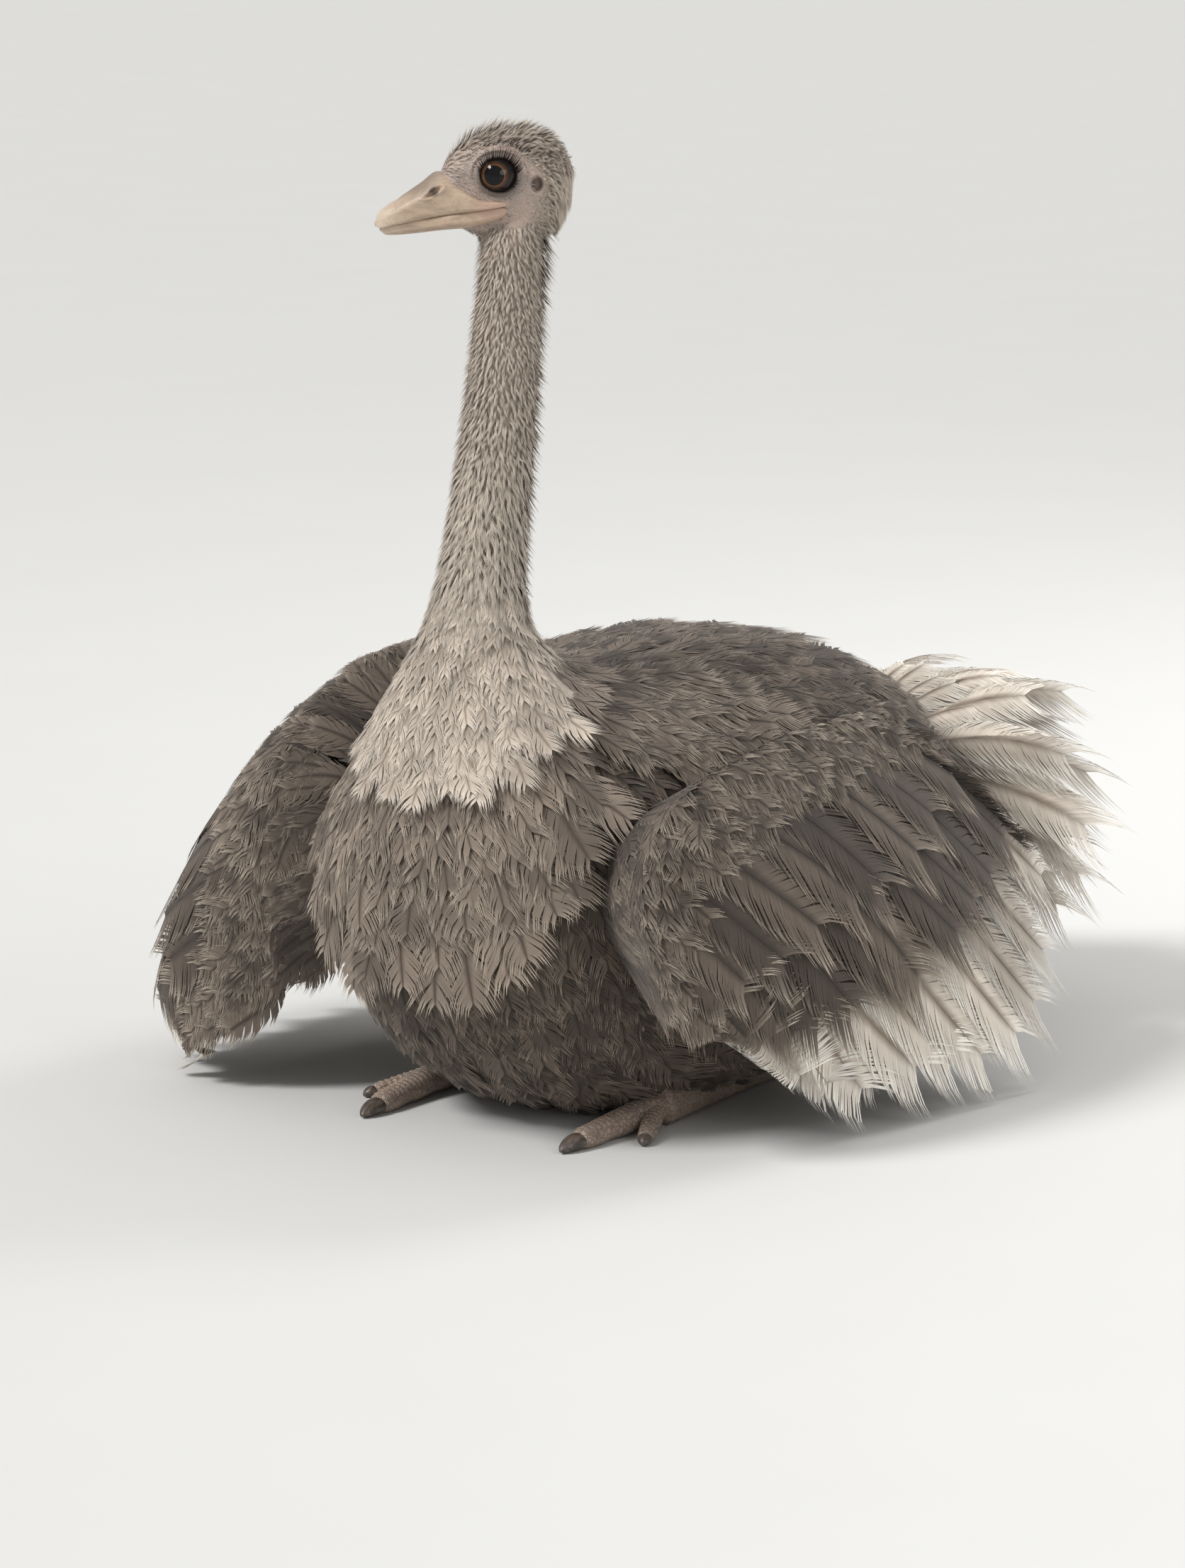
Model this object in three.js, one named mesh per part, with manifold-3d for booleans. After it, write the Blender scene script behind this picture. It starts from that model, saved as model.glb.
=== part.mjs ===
// A life-size female ostrich at rest on the ground: legs folded under the belly, wings drooped
// and a little open, tail plumes raised, neck upright and the head turned to the bird's right.
// Millimetres. +Z is up, the breast faces -Y and the bird's left side is +X.
// The solids follow the outside of the plumage. Neighbours keep a gap of GAP.
import * as THREE from 'three';
import { LoftGeometry } from 'three/addons/geometries/LoftGeometry.js';
import { mergeVertices } from 'three/addons/utils/BufferGeometryUtils.js';
import Module from 'manifold-3d';

const wasm = await Module();
wasm.setup();

// ---- driving sizes ---------------------------------------------------------------------------

const GAP = 0.5; // between neighbouring pieces
const TRIM = 0.2; // how far a surface may move when the small facets a cut leaves are cleared away
const MERGE = 1e-3; // vertices closer than this are one vertex

// The body from the throat, over the neck and the breast, to the rump. Each station is a slanting
// section between a point on the nape and back line and one on the throat and belly line, [y, z].
const BODY = [
  { at: 0.0, back: [-198, 1214], front: [-292, 1184], half: 46 },
  { at: 0.1, back: [-206, 1078], front: [-310, 1064], half: 51 },
  { at: 0.2, back: [-226, 920], front: [-338, 908], half: 56 },
  { at: 0.3, back: [-250, 768], front: [-376, 752], half: 61 },
  { at: 0.38, back: [-258, 676], front: [-414, 640], half: 75 },
  { at: 0.46, back: [-216, 620], front: [-456, 535], half: 116 },
  { at: 0.54, back: [-118, 606], front: [-482, 420], half: 170 },
  { at: 0.62, back: [4, 612], front: [-472, 290], half: 230 },
  { at: 0.7, back: [132, 612], front: [-416, 160], half: 284 },
  { at: 0.78, back: [268, 594], front: [-296, 45], half: 318 },
  { at: 0.86, back: [404, 556], front: [-90, -12], half: 332 },
  { at: 0.93, back: [514, 500], front: [206, -4], half: 288 },
  { at: 0.975, back: [582, 440], front: [412, 92], half: 202 },
  { at: 1.0, back: [610, 388], front: [524, 200], half: 108 },
];
const NECK_SPLIT = 0.19; // where the upper neck ends
const NECK_END = 0.345; // where the neck goes under the ruff
const SPLIT_GAP = 0.0005; // the same gap as GAP, counted along BODY
const NECK_RINGS = [4, 4]; // steps of the upper and of the lower neck
const NECK_AROUND = 20;
const TRUNK_AROUND = 40;

// Two layers of feathers stand out from the breast: the ruff round the foot of the neck, and the
// bib below it. Each ends in a row of pointed tips, at places along BODY given for the back and
// for the breast.
const RUFF = { back: 0.465, front: 0.505, rise: 14 };
const BIB = { back: 0.53, front: 0.655, rise: 24, spread: 88 };
const TIP_DEPTH = 0.022; // how far the tips run past the notches between them

// The head, in its own frame: x to the bill's tip, y to its left, z up, the origin between the eyes.
const HEAD_AT = [-18, -262, 1251];
const HEAD_TURN = 47; // degrees to the bird's right
const HEAD_NOD = 7; // degrees, bill down
const HEAD_SCALE = 1.14;
const CRANIUM = [
  { x: -88, top: 8, bottom: -24, half: 14 },
  { x: -80, top: 27, bottom: -48, half: 26 },
  { x: -64, top: 43, bottom: -72, half: 35 },
  { x: -38, top: 53, bottom: -88, half: 41 },
  { x: -8, top: 56, bottom: -84, half: 42.5 },
  { x: 18, top: 52, bottom: -68, half: 39.5 },
  { x: 38, top: 38, bottom: -58, half: 34 },
  { x: 53, top: 21, bottom: -53, half: 29 },
  { x: 63, top: 4, bottom: -49, half: 24 },
];
const BILL_UPPER = [
  { x: -14, top: -31, bottom: -36, half: 34 },
  { x: 0, top: -27, bottom: -37, half: 40.5 },
  { x: 24, top: -22, bottom: -38, half: 40.5 },
  { x: 46, top: -2, bottom: -38.5, half: 36 },
  { x: 62, top: 9, bottom: -39, half: 31 },
  { x: 84, top: -2, bottom: -40, half: 28 },
  { x: 106, top: -13, bottom: -41.5, half: 26 },
  { x: 124, top: -21, bottom: -43, half: 22 },
  { x: 135, top: -28, bottom: -44.5, half: 15.5 },
  { x: 141, top: -35, bottom: -44, half: 7 },
];
const BILL_LOWER = [
  { x: -12, top: -35, bottom: -44, half: 32 },
  { x: 4, top: -35, bottom: -53, half: 38 },
  { x: 36, top: -36, bottom: -57, half: 34 },
  { x: 70, top: -37.5, bottom: -56, half: 27 },
  { x: 100, top: -39, bottom: -55.5, half: 23 },
  { x: 120, top: -41, bottom: -54.5, half: 18.5 },
  { x: 131, top: -42.5, bottom: -53, half: 12 },
  { x: 136, top: -43.5, bottom: -50, half: 6 },
];
const MOUTH_POWER = 7; // how square the bills' sections are on the mouth's side
const EYE = { radius: 23.6, out: 24.6, x: 0, z: 0 };
const SOCKET = { radius: 26, out: 54 }; // the hollow that the lids frame
const EAR = { x: -42, z: -16, out: 38, long: 11, tall: 12, thick: 6 };

// A wing's feathers fan from its leading edge, which runs from the low front corner over the
// wrist to the back, down to the line of the plume tips, [x, y, z]. The left wing lies along the
// side and the right one is flared out in front.
const WINGS = {
  left: {
    edge: [[300, -366, 232], [296, -398, 350], [302, -350, 448], [318, -190, 506], [318, 60, 520]],
    tips: [[352, -262, 150], [406, -110, 44], [470, 110, 8], [474, 370, 44], [352, 584, 200]],
    bulge: 46,
  },
  right: {
    edge: [[-296, -330, 150], [-292, -368, 310], [-276, -350, 450], [-246, -250, 550], [-206, -50, 586]],
    tips: [[-462, -312, 40], [-578, -236, 8], [-612, -10, 8], [-570, 310, 40], [-370, 600, 200]],
    bulge: 96,
  },
};
const SPAN = 700; // about the length of a leading edge, where a line is carried on past its end
const WING_ARM = 84; // thickness over the arm bones
const WING_VANE = 11; // thickness at the plume tips
const WING_TIERS = {
  plumes: { to: 1.0, rise: 0, depth: 0.07 },
  coverts: { to: 0.68, rise: 13, depth: 0.07 },
  shoulder: { to: 0.38, rise: 26, depth: 0.06 },
};
const WING_TIPS = 8; // feather tips side by side along each tier
const TIP_STEPS = 3; // sections for each tip
const AXIS = { front: -170, back: 320, z: 230 }; // the line inside the trunk that wings face from

// Tail plumes spring from the rump in rows. Angles are degrees: rise above the level, and the
// fan's half width to each side.
const TAIL_ROOT = [30, 548, 366];
const TAIL_ROWS = [
  { plumes: 5, rise: 39, fan: 48, length: 384, droop: 0.44, width: 56, root: 32 },
  { plumes: 5, rise: 25, fan: 52, length: 404, droop: 0.5, width: 60, root: 4 },
  { plumes: 4, rise: 4, fan: 42, length: 356, droop: 0.5, width: 60, root: -40 },
];
const TAIL_TURN = 27; // degrees, the whole fan swings to the bird's left
const PLUME_THICK = 36;

// A folded leg: the shank lies on the ground from the ankle at the back to the toes in front.
const LEG = {
  ankle: [150, 322, 27],
  foot: [172, -168, 24],
  knee: [226, -20, 230],
  ankleRadius: 41,
  shankRadius: 26,
  footRadius: 31,
  thighRadius: 92,
};
const TOES = [
  { name: 'inner', turn: -3, length: 172, radius: 24, tip: 17, nail: 44 },
  { name: 'outer', turn: 27, length: 112, radius: 18, tip: 12, nail: 17 },
];

// ---- materials -------------------------------------------------------------------------------

function finish(color, roughness) {
  return new THREE.MeshStandardMaterial({ color, roughness, metalness: 0 });
}

const FINISH = {
  down: finish('#a3937f', 0.95),
  plumage: finish('#7d6d5c', 0.92),
  plume: finish('#b9ad9b', 0.9),
  skin: finish('#a08b78', 0.7),
  horn: finish('#a8927a', 0.5),
  nail: finish('#6d5d4d', 0.45),
  eye: finish('#2a1a10', 0.08),
};

// ---- shape helpers ---------------------------------------------------------------------------

const radians = THREE.MathUtils.degToRad;
const lerp = THREE.MathUtils.lerp;

function vector([x, y, z]) {
  return new THREE.Vector3(x, y, z);
}

// A smooth curve of numbers through [place, value] stations.
function through(stations) {
  const slope = stations.map((_, i) => {
    const before = stations[Math.max(i - 1, 0)];
    const after = stations[Math.min(i + 1, stations.length - 1)];
    return (after[1] - before[1]) / (after[0] - before[0]);
  });
  return (place) => {
    let i = 0;
    while (i < stations.length - 2 && place > stations[i + 1][0]) i += 1;
    const [a, from] = stations[i];
    const [b, to] = stations[i + 1];
    const t = THREE.MathUtils.clamp((place - a) / (b - a), 0, 1);
    const bend = t * t * (3 - 2 * t);
    const rise = slope[i] * t * (1 - t) * (1 - t) + slope[i + 1] * t * t * (t - 1);
    return lerp(from, to, bend) + rise * (b - a);
  };
}

function evenly(count, from = 0, to = 1) {
  return Array.from({ length: count }, (_, i) => lerp(from, to, i / (count - 1)));
}

// The point of a rounded section at an angle, as shares of its half width and half height.
// A power of 2 is an ellipse and a larger one is squarer.
function rounded(angle, power) {
  const bend = (x) => Math.sign(x) * Math.abs(x) ** (2 / power);
  return [bend(Math.cos(angle)), bend(Math.sin(angle))];
}

function ring(around, pointAt) {
  return Array.from({ length: around }, (_, i) => pointAt((2 * Math.PI * i) / around));
}

function onFloor(point) {
  point.z = Math.max(point.z, 0);
  return point;
}

// ---- solids ----------------------------------------------------------------------------------

function solidOf(geometry) {
  const bare = new THREE.BufferGeometry();
  bare.setIndex(geometry.index);
  bare.setAttribute('position', geometry.attributes.position);
  const merged = mergeVertices(bare, MERGE);
  const vertProperties = new Float32Array(merged.attributes.position.array);
  const triVerts = Uint32Array.from(merged.index.array);
  const whole = [];
  for (let i = 0; i < triVerts.length; i += 3) {
    const [a, b, c] = triVerts.subarray(i, i + 3);
    if (a !== b && b !== c && c !== a) whole.push(a, b, c);
  }
  const build = (triangles) =>
    new wasm.Manifold(
      new wasm.Mesh({ numProp: 3, vertProperties, triVerts: Uint32Array.from(triangles) }),
    );
  const made = build(whole);
  return made.volume() > 0 ? made : build(whole.reverse());
}

function middleOf(points) {
  return points.reduce((sum, p) => sum.add(p), new THREE.Vector3()).divideScalar(points.length);
}

// A closed body through rings of points. A loft wants each ring to run counterclockwise when
// seen from the loft's end.
function loft(sections, capped = true) {
  const half = Math.floor(sections.length / 2);
  const [here, next] = [sections[half - 1], sections[half]];
  const centre = middleOf(here);
  const normal = here.reduce((sum, p, i) => {
    const q = here[(i + 1) % here.length];
    return sum.add(p.clone().sub(centre).cross(q.clone().sub(centre)));
  }, new THREE.Vector3());
  const forward = middleOf(next).sub(centre);
  const rings = normal.dot(forward) > 0 ? sections : sections.map((points) => [...points].reverse());
  return solidOf(new LoftGeometry(rings, { capStart: capped, capEnd: capped }));
}

// A thick sheet through sections that each have an outside and an inside row of points. Its two
// ends are rounded off to a seam.
function slab(sections) {
  const ringOf = ({ outside, inside }) => [...outside, ...[...inside].reverse()];
  const centre = ({ outside, inside }, i) => outside[i].clone().lerp(inside[i], 0.5);
  const seamAfter = (end, before) => {
    const seam = end.outside.map((point, i) => {
      const ahead = centre(end, i).sub(centre(before, i)).normalize();
      return onFloor(centre(end, i).addScaledVector(ahead, point.distanceTo(end.inside[i]) * 0.4));
    });
    return { outside: seam, inside: seam };
  };
  const first = seamAfter(sections[0], sections[1]);
  const last = seamAfter(sections.at(-1), sections.at(-2));
  return loft([first, ...sections, last].map(ringOf), false);
}

// The largest piece of a solid, without the slivers that a cut can leave.
function largest(solid) {
  return solid.decompose().reduce((a, b) => (a.volume() > b.volume() ? a : b));
}

function without(solid, ...cutters) {
  return largest(cutters.reduce((left, cutter) => left.subtract(cutter), solid)).simplify(TRIM);
}

function joined(solids) {
  return solids.reduce((a, b) => a.add(b));
}

function meshOf(name, solid, material) {
  const { vertProperties, triVerts } = solid.getMesh();
  const geometry = new THREE.BufferGeometry();
  geometry.setAttribute('position', new THREE.BufferAttribute(vertProperties, 3));
  geometry.setIndex(new THREE.BufferAttribute(triVerts, 1));
  geometry.computeVertexNormals();
  const mesh = new THREE.Mesh(geometry, material);
  mesh.name = name;
  return mesh;
}

// A tube along a path. sizeAt(t) gives the section's half width and half height there.
// With floor, what would reach below the ground lies flat on it. A phase of 1 turns an even section
// so that an edge faces down.
function sweep(path, sizeAt, { around = 12, along = 10, grow = 0, floor = false, phase = 0 }) {
  const sections = evenly(along + 1).map((t) => {
    const centre = path.getPoint(t);
    const forward = path.getTangent(t);
    const side = new THREE.Vector3().crossVectors(forward, new THREE.Vector3(0, 0, 1)).normalize();
    const over = new THREE.Vector3().crossVectors(side, forward);
    const [wide, tall] = sizeAt(t);
    return ring(around, (angle) => {
      const turned = angle + (phase * Math.PI) / around;
      const point = centre
        .clone()
        .addScaledVector(side, Math.cos(turned) * (wide + grow))
        .addScaledVector(over, Math.sin(turned) * (tall + grow));
      return floor ? onFloor(point) : point;
    });
  });
  return loft(sections);
}

// ---- the body: neck and trunk ----------------------------------------------------------------

const along = (pick) => through(BODY.map((station) => [station.at, pick(station)]));
const backLine = { y: along((s) => s.back[0]), z: along((s) => s.back[1]) };
const frontLine = { y: along((s) => s.front[0]), z: along((s) => s.front[1]) };
const halfWidth = along((s) => s.half);
const squareness = through([[0, 2], [0.4, 2], [0.7, 2.35], [1, 2.1]]);

// The body's outside at a place along it and an angle round it: 0 is the bird's left, a quarter
// turn the nape or back and three quarters the throat or belly.
function bodyPoint(at, angle, out = 0) {
  const back = new THREE.Vector3(0, backLine.y(at), backLine.z(at));
  const front = new THREE.Vector3(0, frontLine.y(at), frontLine.z(at));
  const centre = back.clone().lerp(front, 0.5);
  const reach = (Math.sin(angle) > 0 ? back : front).sub(centre);
  const [across, over] = rounded(angle, squareness(at));
  const length = reach.length();
  const point = centre.addScaledVector(reach, (Math.abs(over) * (length + out)) / length);
  point.x = across * (halfWidth(at) + out);
  return point;
}

function neckPiece(from, to, steps) {
  return loft(evenly(steps + 1, from, to).map((at) => ring(NECK_AROUND, (angle) => bodyPoint(at, angle))));
}

// The trunk's rings follow the edges of the ruff and the bib, so each angle has its own places.
function trunkRows(angle, i) {
  const turn = angle - 1.5 * Math.PI; // away from the breast
  const facing = (1 + Math.cos(turn)) / 2;
  const under = Math.max(Math.cos(turn) - Math.cos(radians(BIB.spread)), 0);
  const tip = i % 2 ? TIP_DEPTH : 0;
  const start = NECK_END + SPLIT_GAP;
  const ruffEnd = lerp(RUFF.back, RUFF.front, facing ** 2) + tip;
  const bibEnd = lerp(BIB.back, BIB.front, under ** 0.8) + tip;
  const bibRise = BIB.rise * Math.min(1, 3 * under);
  return [
    [start, 0],
    [lerp(start, ruffEnd, 0.2), 0.5 * RUFF.rise],
    [lerp(start, ruffEnd, 0.6), 0.9 * RUFF.rise],
    [ruffEnd, RUFF.rise],
    [ruffEnd + 0.004, 0],
    [lerp(ruffEnd, bibEnd, 0.35), 0.6 * bibRise],
    [lerp(ruffEnd, bibEnd, 0.7), 0.95 * bibRise],
    [bibEnd, bibRise],
    [bibEnd + 0.006, 0],
    ...evenly(8, 0.13, 1).map((t) => [lerp(bibEnd + 0.006, 1, t), 0]),
  ];
}

function trunkLoft(grow = 0) {
  const columns = ring(TRUNK_AROUND, (angle) => angle).map((angle, i) =>
    trunkRows(angle, i).map(([at, out]) => bodyPoint(at, angle, out + grow)),
  );
  const rings = columns[0].map((_, row) => columns.map((column) => column[row]));
  if (!grow) return loft(rings.map((points) => points.map(onFloor)));
  const behind = new THREE.Vector3(0, grow, 0);
  return loft([...rings, rings.at(-1).map((point) => point.clone().add(behind))]);
}

// ---- the head --------------------------------------------------------------------------------

const headFrame = new THREE.Matrix4()
  .makeTranslation(...HEAD_AT)
  .multiply(new THREE.Matrix4().makeRotationZ(radians(-90 - HEAD_TURN)))
  .multiply(new THREE.Matrix4().makeRotationY(radians(HEAD_NOD)))
  .scale(new THREE.Vector3(HEAD_SCALE, HEAD_SCALE, HEAD_SCALE));

function headLoft(stations, { around, count, over, under }, grow = 0) {
  const size = (key) => through(stations.map((s) => [s.x, s[key]]));
  const [top, bottom, half] = ['top', 'bottom', 'half'].map(size);
  const places = evenly(count, stations[0].x - grow, stations.at(-1).x + grow);
  const sections = places.map((x) => {
    const middle = (top(x) + bottom(x)) / 2;
    const tall = (top(x) - bottom(x)) / 2 + grow;
    return ring(around, (angle) => {
      const [across, high] = rounded(angle, Math.sin(angle) > 0 ? over : under);
      return new THREE.Vector3(x, across * (half(x) + grow), middle + high * tall);
    });
  });
  return loft(sections);
}

function ball(radius, [x, y, z], [wide, deep, tall] = [1, 1, 1], detail = 11) {
  const geometry = new THREE.SphereGeometry(radius, detail, Math.round(detail * 0.7));
  geometry.scale(wide, deep, tall).translate(x, y, z);
  return solidOf(geometry);
}

function headParts() {
  const looks = {
    skull: { around: 16, count: 11, over: 2.15, under: 2.15 },
    upper: { around: 12, count: 10, over: 2.4, under: MOUTH_POWER },
    lower: { around: 10, count: 7, over: MOUTH_POWER, under: 2.3 },
  };
  const skull = (grow) => headLoft(CRANIUM, looks.skull, grow);
  const upper = (grow) => headLoft(BILL_UPPER, looks.upper, grow);
  const lower = (grow) => headLoft(BILL_LOWER, looks.lower, grow);
  const eye = (side, grow = 0) => ball(EYE.radius + grow, [EYE.x, side * EYE.out, EYE.z]);
  const ear = (side) => {
    const size = [EAR.long / EAR.tall, EAR.thick / EAR.tall, 1];
    return ball(EAR.tall, [EAR.x, side * EAR.out, EAR.z], size, 8);
  };
  const eyes = [eye(1, GAP), eye(-1, GAP)];
  const sockets = [1, -1].map((side) => ball(SOCKET.radius, [EYE.x, side * SOCKET.out, EYE.z]));
  const made = [
    ['head', without(skull(0), upper(GAP), lower(GAP), ...eyes, ...sockets), FINISH.down],
    ['bill_upper', upper(0), FINISH.horn],
    ['bill_lower', without(lower(0), upper(GAP)), FINISH.horn],
  ];
  for (const [name, side] of [['left', 1], ['right', -1]]) {
    made.push([`eye_${name}`, eye(side), FINISH.eye]);
    made.push([`ear_${name}`, without(ear(side), skull(GAP)), FINISH.down]);
  }
  const placed = (solid) => solid.transform([...headFrame.elements]);
  const room = joined([skull(GAP), upper(GAP), lower(GAP), ...eyes]);
  return { made: made.map(([name, solid, look]) => [name, placed(solid), look]), room: placed(room) };
}

// ---- wings -----------------------------------------------------------------------------------

// The surface of a wing: span runs along the leading edge, down from it to the plume tips, and
// out is the height over the plumes' outer face.
function wingSurface({ edge, tips, bulge }) {
  const [from, to] = [edge, tips].map(
    (line) => new THREE.CatmullRomCurve3(line.map(vector), false, 'centripetal'),
  );
  const along = (line, span) => {
    const place = THREE.MathUtils.clamp(span, 0, 1);
    return line.getPoint(place).addScaledVector(line.getTangent(place), (span - place) * SPAN);
  };
  return (span, down, out) => {
    const point = along(from, span).lerp(along(to, span), down);
    const axis = new THREE.Vector3(0, THREE.MathUtils.clamp(point.y, AXIS.front, AXIS.back), AXIS.z);
    const away = point.clone().sub(axis).normalize();
    const swell = bulge * Math.sin(Math.PI * Math.min(down, 1) ** 0.8);
    return onFloor(point.addScaledVector(away, swell + out));
  };
}

// Thickness of the wing: full over the arm, thin at the plume tips.
const armDepth = through([[0, 30], [0.12, WING_ARM], [0.35, 64], [0.6, 26], [1, WING_VANE]]);

// Where a tier's feathers end: rounded tips side by side along the span.
function scalloped({ to, depth }, step) {
  return to - depth * (1 - Math.sin((Math.PI * (step % TIP_STEPS)) / TIP_STEPS));
}

// A part of the wing from rows of [down, height over the plumes] that each step along the span has.
function wingSlab(surface, rowsAt) {
  const steps = WING_TIPS * TIP_STEPS;
  const sections = evenly(steps + 1).map((span, i) => {
    const rows = rowsAt(i, Math.sin(Math.PI * span) ** 0.3);
    return {
      outside: rows.map(([down, rise]) => surface(span, down, rise)),
      inside: rows.map(([down]) => surface(span, down, -armDepth(down))),
    };
  });
  return slab(sections);
}

function wingParts(wing) {
  const surface = wingSurface(wing);
  const { plumes, coverts, shoulder } = WING_TIERS;
  const arm = wingSlab(surface, (step, fade) => {
    const first = scalloped(shoulder, step);
    const second = scalloped(coverts, step);
    return [
      [0, 0],
      [0.06, 0.7 * shoulder.rise * fade],
      [0.2, shoulder.rise * fade],
      [first, shoulder.rise * fade],
      [first + 0.01, coverts.rise * fade],
      [lerp(first, second, 0.5), coverts.rise * fade],
      [second, coverts.rise * fade],
    ];
  });
  const vanes = wingSlab(surface, (step) => {
    const start = scalloped(coverts, step) + 0.0035;
    return evenly(4, start, scalloped(plumes, step)).map((down) => [down, 0]);
  });
  return { arm, vanes };
}

// ---- tail ------------------------------------------------------------------------------------

// One arching plume: a leaf of vane on a curve that starts along aim and droops.
function plume(root, aim, length, droop, width) {
  const bend = aim.clone().multiplyScalar(length * 0.5).add(root);
  const end = aim.clone().multiplyScalar(length).add(root);
  end.z -= droop * length;
  const path = new THREE.QuadraticBezierCurve3(root, bend, end);
  const wide = through([[0, 0.42], [0.3, 0.86], [0.6, 1], [0.86, 0.9], [1, 0.5]]);
  const thick = through([[0, 1], [0.6, 0.9], [1, 0.5]]);
  const sizeAt = (t) => [width * wide(t), PLUME_THICK * thick(t)];
  return sweep(path, sizeAt, { around: 4, along: 5 });
}

function tailSolid() {
  const plumes = TAIL_ROWS.flatMap((row) =>
    evenly(row.plumes, -1, 1).map((place) => {
      const turn = radians(place * row.fan + TAIL_TURN);
      const rise = radians(row.rise * (1 - 0.35 * place * place));
      const flat = Math.cos(rise);
      const aim = new THREE.Vector3(Math.sin(turn) * flat, Math.cos(turn) * flat, Math.sin(rise));
      const root = vector(TAIL_ROOT);
      root.x += place * 62;
      root.z += row.root - 22 * place * place;
      const length = row.length * (1 - 0.12 * place * place);
      return plume(root, aim, length, row.droop, row.width);
    }),
  );
  const stump = ball(96, TAIL_ROOT, [1.15, 0.95, 0.85], 10);
  return joined([stump, ...plumes]);
}

// ---- legs ------------------------------------------------------------------------------------

function legParts(name, side, grow = 0) {
  const flip = ([x, y, z]) => new THREE.Vector3(x * side, y, z);
  const ankle = flip(LEG.ankle);
  const foot = flip(LEG.foot);
  const knee = flip(LEG.knee);
  const shankPath = new THREE.LineCurve3(ankle.clone().add(new THREE.Vector3(0, 34, 0)), foot);
  const shankSize = through([
    [0, 14], [0.05, LEG.ankleRadius * 0.86], [0.1, LEG.ankleRadius], [0.24, LEG.shankRadius + 3],
    [0.6, LEG.shankRadius], [0.88, LEG.footRadius - 2], [1, LEG.footRadius],
  ]);
  const floored = { floor: !grow, grow, phase: 1 };
  const shank = sweep(shankPath, (t) => [shankSize(t), shankSize(t)], { ...floored, around: 8, along: 8 });
  const thighSize = through([
    [0, 22], [0.12, LEG.thighRadius * 0.8], [0.4, LEG.thighRadius], [0.8, 48], [1, 34],
  ]);
  const thighPath = new THREE.QuadraticBezierCurve3(
    knee,
    new THREE.Vector3(side * 236, 170, 180),
    ankle.clone().add(new THREE.Vector3(0, 8, 26)),
  );
  const thigh = sweep(thighPath, (t) => [thighSize(t) * 0.72, thighSize(t)], { around: 8, along: 6, grow });
  const toes = TOES.map((toe) => {
    const turn = radians(toe.turn) * side;
    const ahead = new THREE.Vector3(Math.sin(turn), -Math.cos(turn), 0);
    const from = foot.clone().addScaledVector(ahead, -6);
    const to = foot.clone().addScaledVector(ahead, toe.length).setZ(toe.tip * 0.62);
    const size = through([
      [0, toe.radius], [0.35, toe.radius * 0.88], [0.8, toe.tip * 1.06], [0.93, toe.tip], [1, toe.tip * 0.6],
    ]);
    const solid = sweep(
      new THREE.LineCurve3(from, to),
      (t) => [size(t), size(t) * 0.9],
      { ...floored, around: 8, along: 5 },
    );
    const nailEnd = to.clone().addScaledVector(ahead, toe.nail * 0.72).setZ(toe.tip * 0.3);
    const nailSize = through([[0, 0.8], [0.4, 0.72], [0.8, 0.45], [1, 0.15]]);
    const nail = sweep(
      new THREE.LineCurve3(to.clone().addScaledVector(ahead, -toe.nail * 0.28), nailEnd),
      (t) => [toe.tip * nailSize(t), toe.tip * nailSize(t) * 0.85],
      { ...floored, around: 6, along: 3 },
    );
    return { name: `${name}_${toe.name}`, solid, nail };
  });
  return { shank, thigh, toes };
}

// ---- assembly --------------------------------------------------------------------------------

const parts = [];
const add = (name, solid, material) => parts.push([name, solid, material]);

const legs = Object.fromEntries(
  [['left', 1], ['right', -1]].map(([name, side]) => [
    name,
    { fit: legParts(name, side), room: legParts(name, side, GAP) },
  ]),
);
const footRoom = joined(
  Object.values(legs).flatMap(({ room }) => [room.shank, ...room.toes.map((t) => t.solid)]),
);
const bodyRoom = trunkLoft(GAP);
add('trunk', without(trunkLoft(), footRoom), FINISH.plumage);

for (const [name, { fit, room }] of Object.entries(legs)) {
  const toeRoom = joined(room.toes.map((t) => t.solid));
  add(`thigh_${name}`, without(fit.thigh, room.shank, bodyRoom), FINISH.skin);
  add(`shank_${name}`, fit.shank, FINISH.skin);
  fit.toes.forEach((toe, i) => {
    const others = room.toes.slice(0, i).map((t) => t.solid);
    add(`toe_${toe.name}`, without(toe.solid, room.shank, ...others), FINISH.skin);
    add(`nail_${toe.name}`, without(toe.nail, toeRoom, room.shank), FINISH.nail);
  });
}

const head = headParts();
add('neck_upper', without(neckPiece(0, NECK_SPLIT, NECK_RINGS[0]), head.room), FINISH.down);
add('neck_lower', neckPiece(NECK_SPLIT + SPLIT_GAP, NECK_END, NECK_RINGS[1]), FINISH.down);
for (const [name, solid, look] of head.made) add(name, solid, look);

for (const [name, wing] of Object.entries(WINGS)) {
  const { arm, vanes } = wingParts(wing);
  const others = [bodyRoom, footRoom, legs[name].room.thigh];
  add(`wing_${name}`, without(arm, ...others), FINISH.plumage);
  add(`wing_${name}_plumes`, without(vanes, ...others), FINISH.plume);
}
add('tail', without(tailSolid(), bodyRoom), FINISH.plume);

// The origin is the middle of the whole bird's box, on the ground.
const bird = new THREE.Group();
for (const [name, solid, material] of parts) bird.add(meshOf(name, solid, material));
const box = new THREE.Box3().setFromObject(bird);
const middle = box.getCenter(new THREE.Vector3());
bird.position.set(-middle.x, -middle.y, -box.min.z);

const ostrich = new THREE.Group();
ostrich.add(bird);

export default ostrich;
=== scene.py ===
"""A life-size female ostrich at rest: skin, plumage, eyes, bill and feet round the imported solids.

Metres, +Z up, the breast faces -Y and the bird's left side is +X. Sizes in the tables are
millimetres in the bird's own frame, which SHIFT takes to the frame of the solids.
"""

import math

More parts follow.
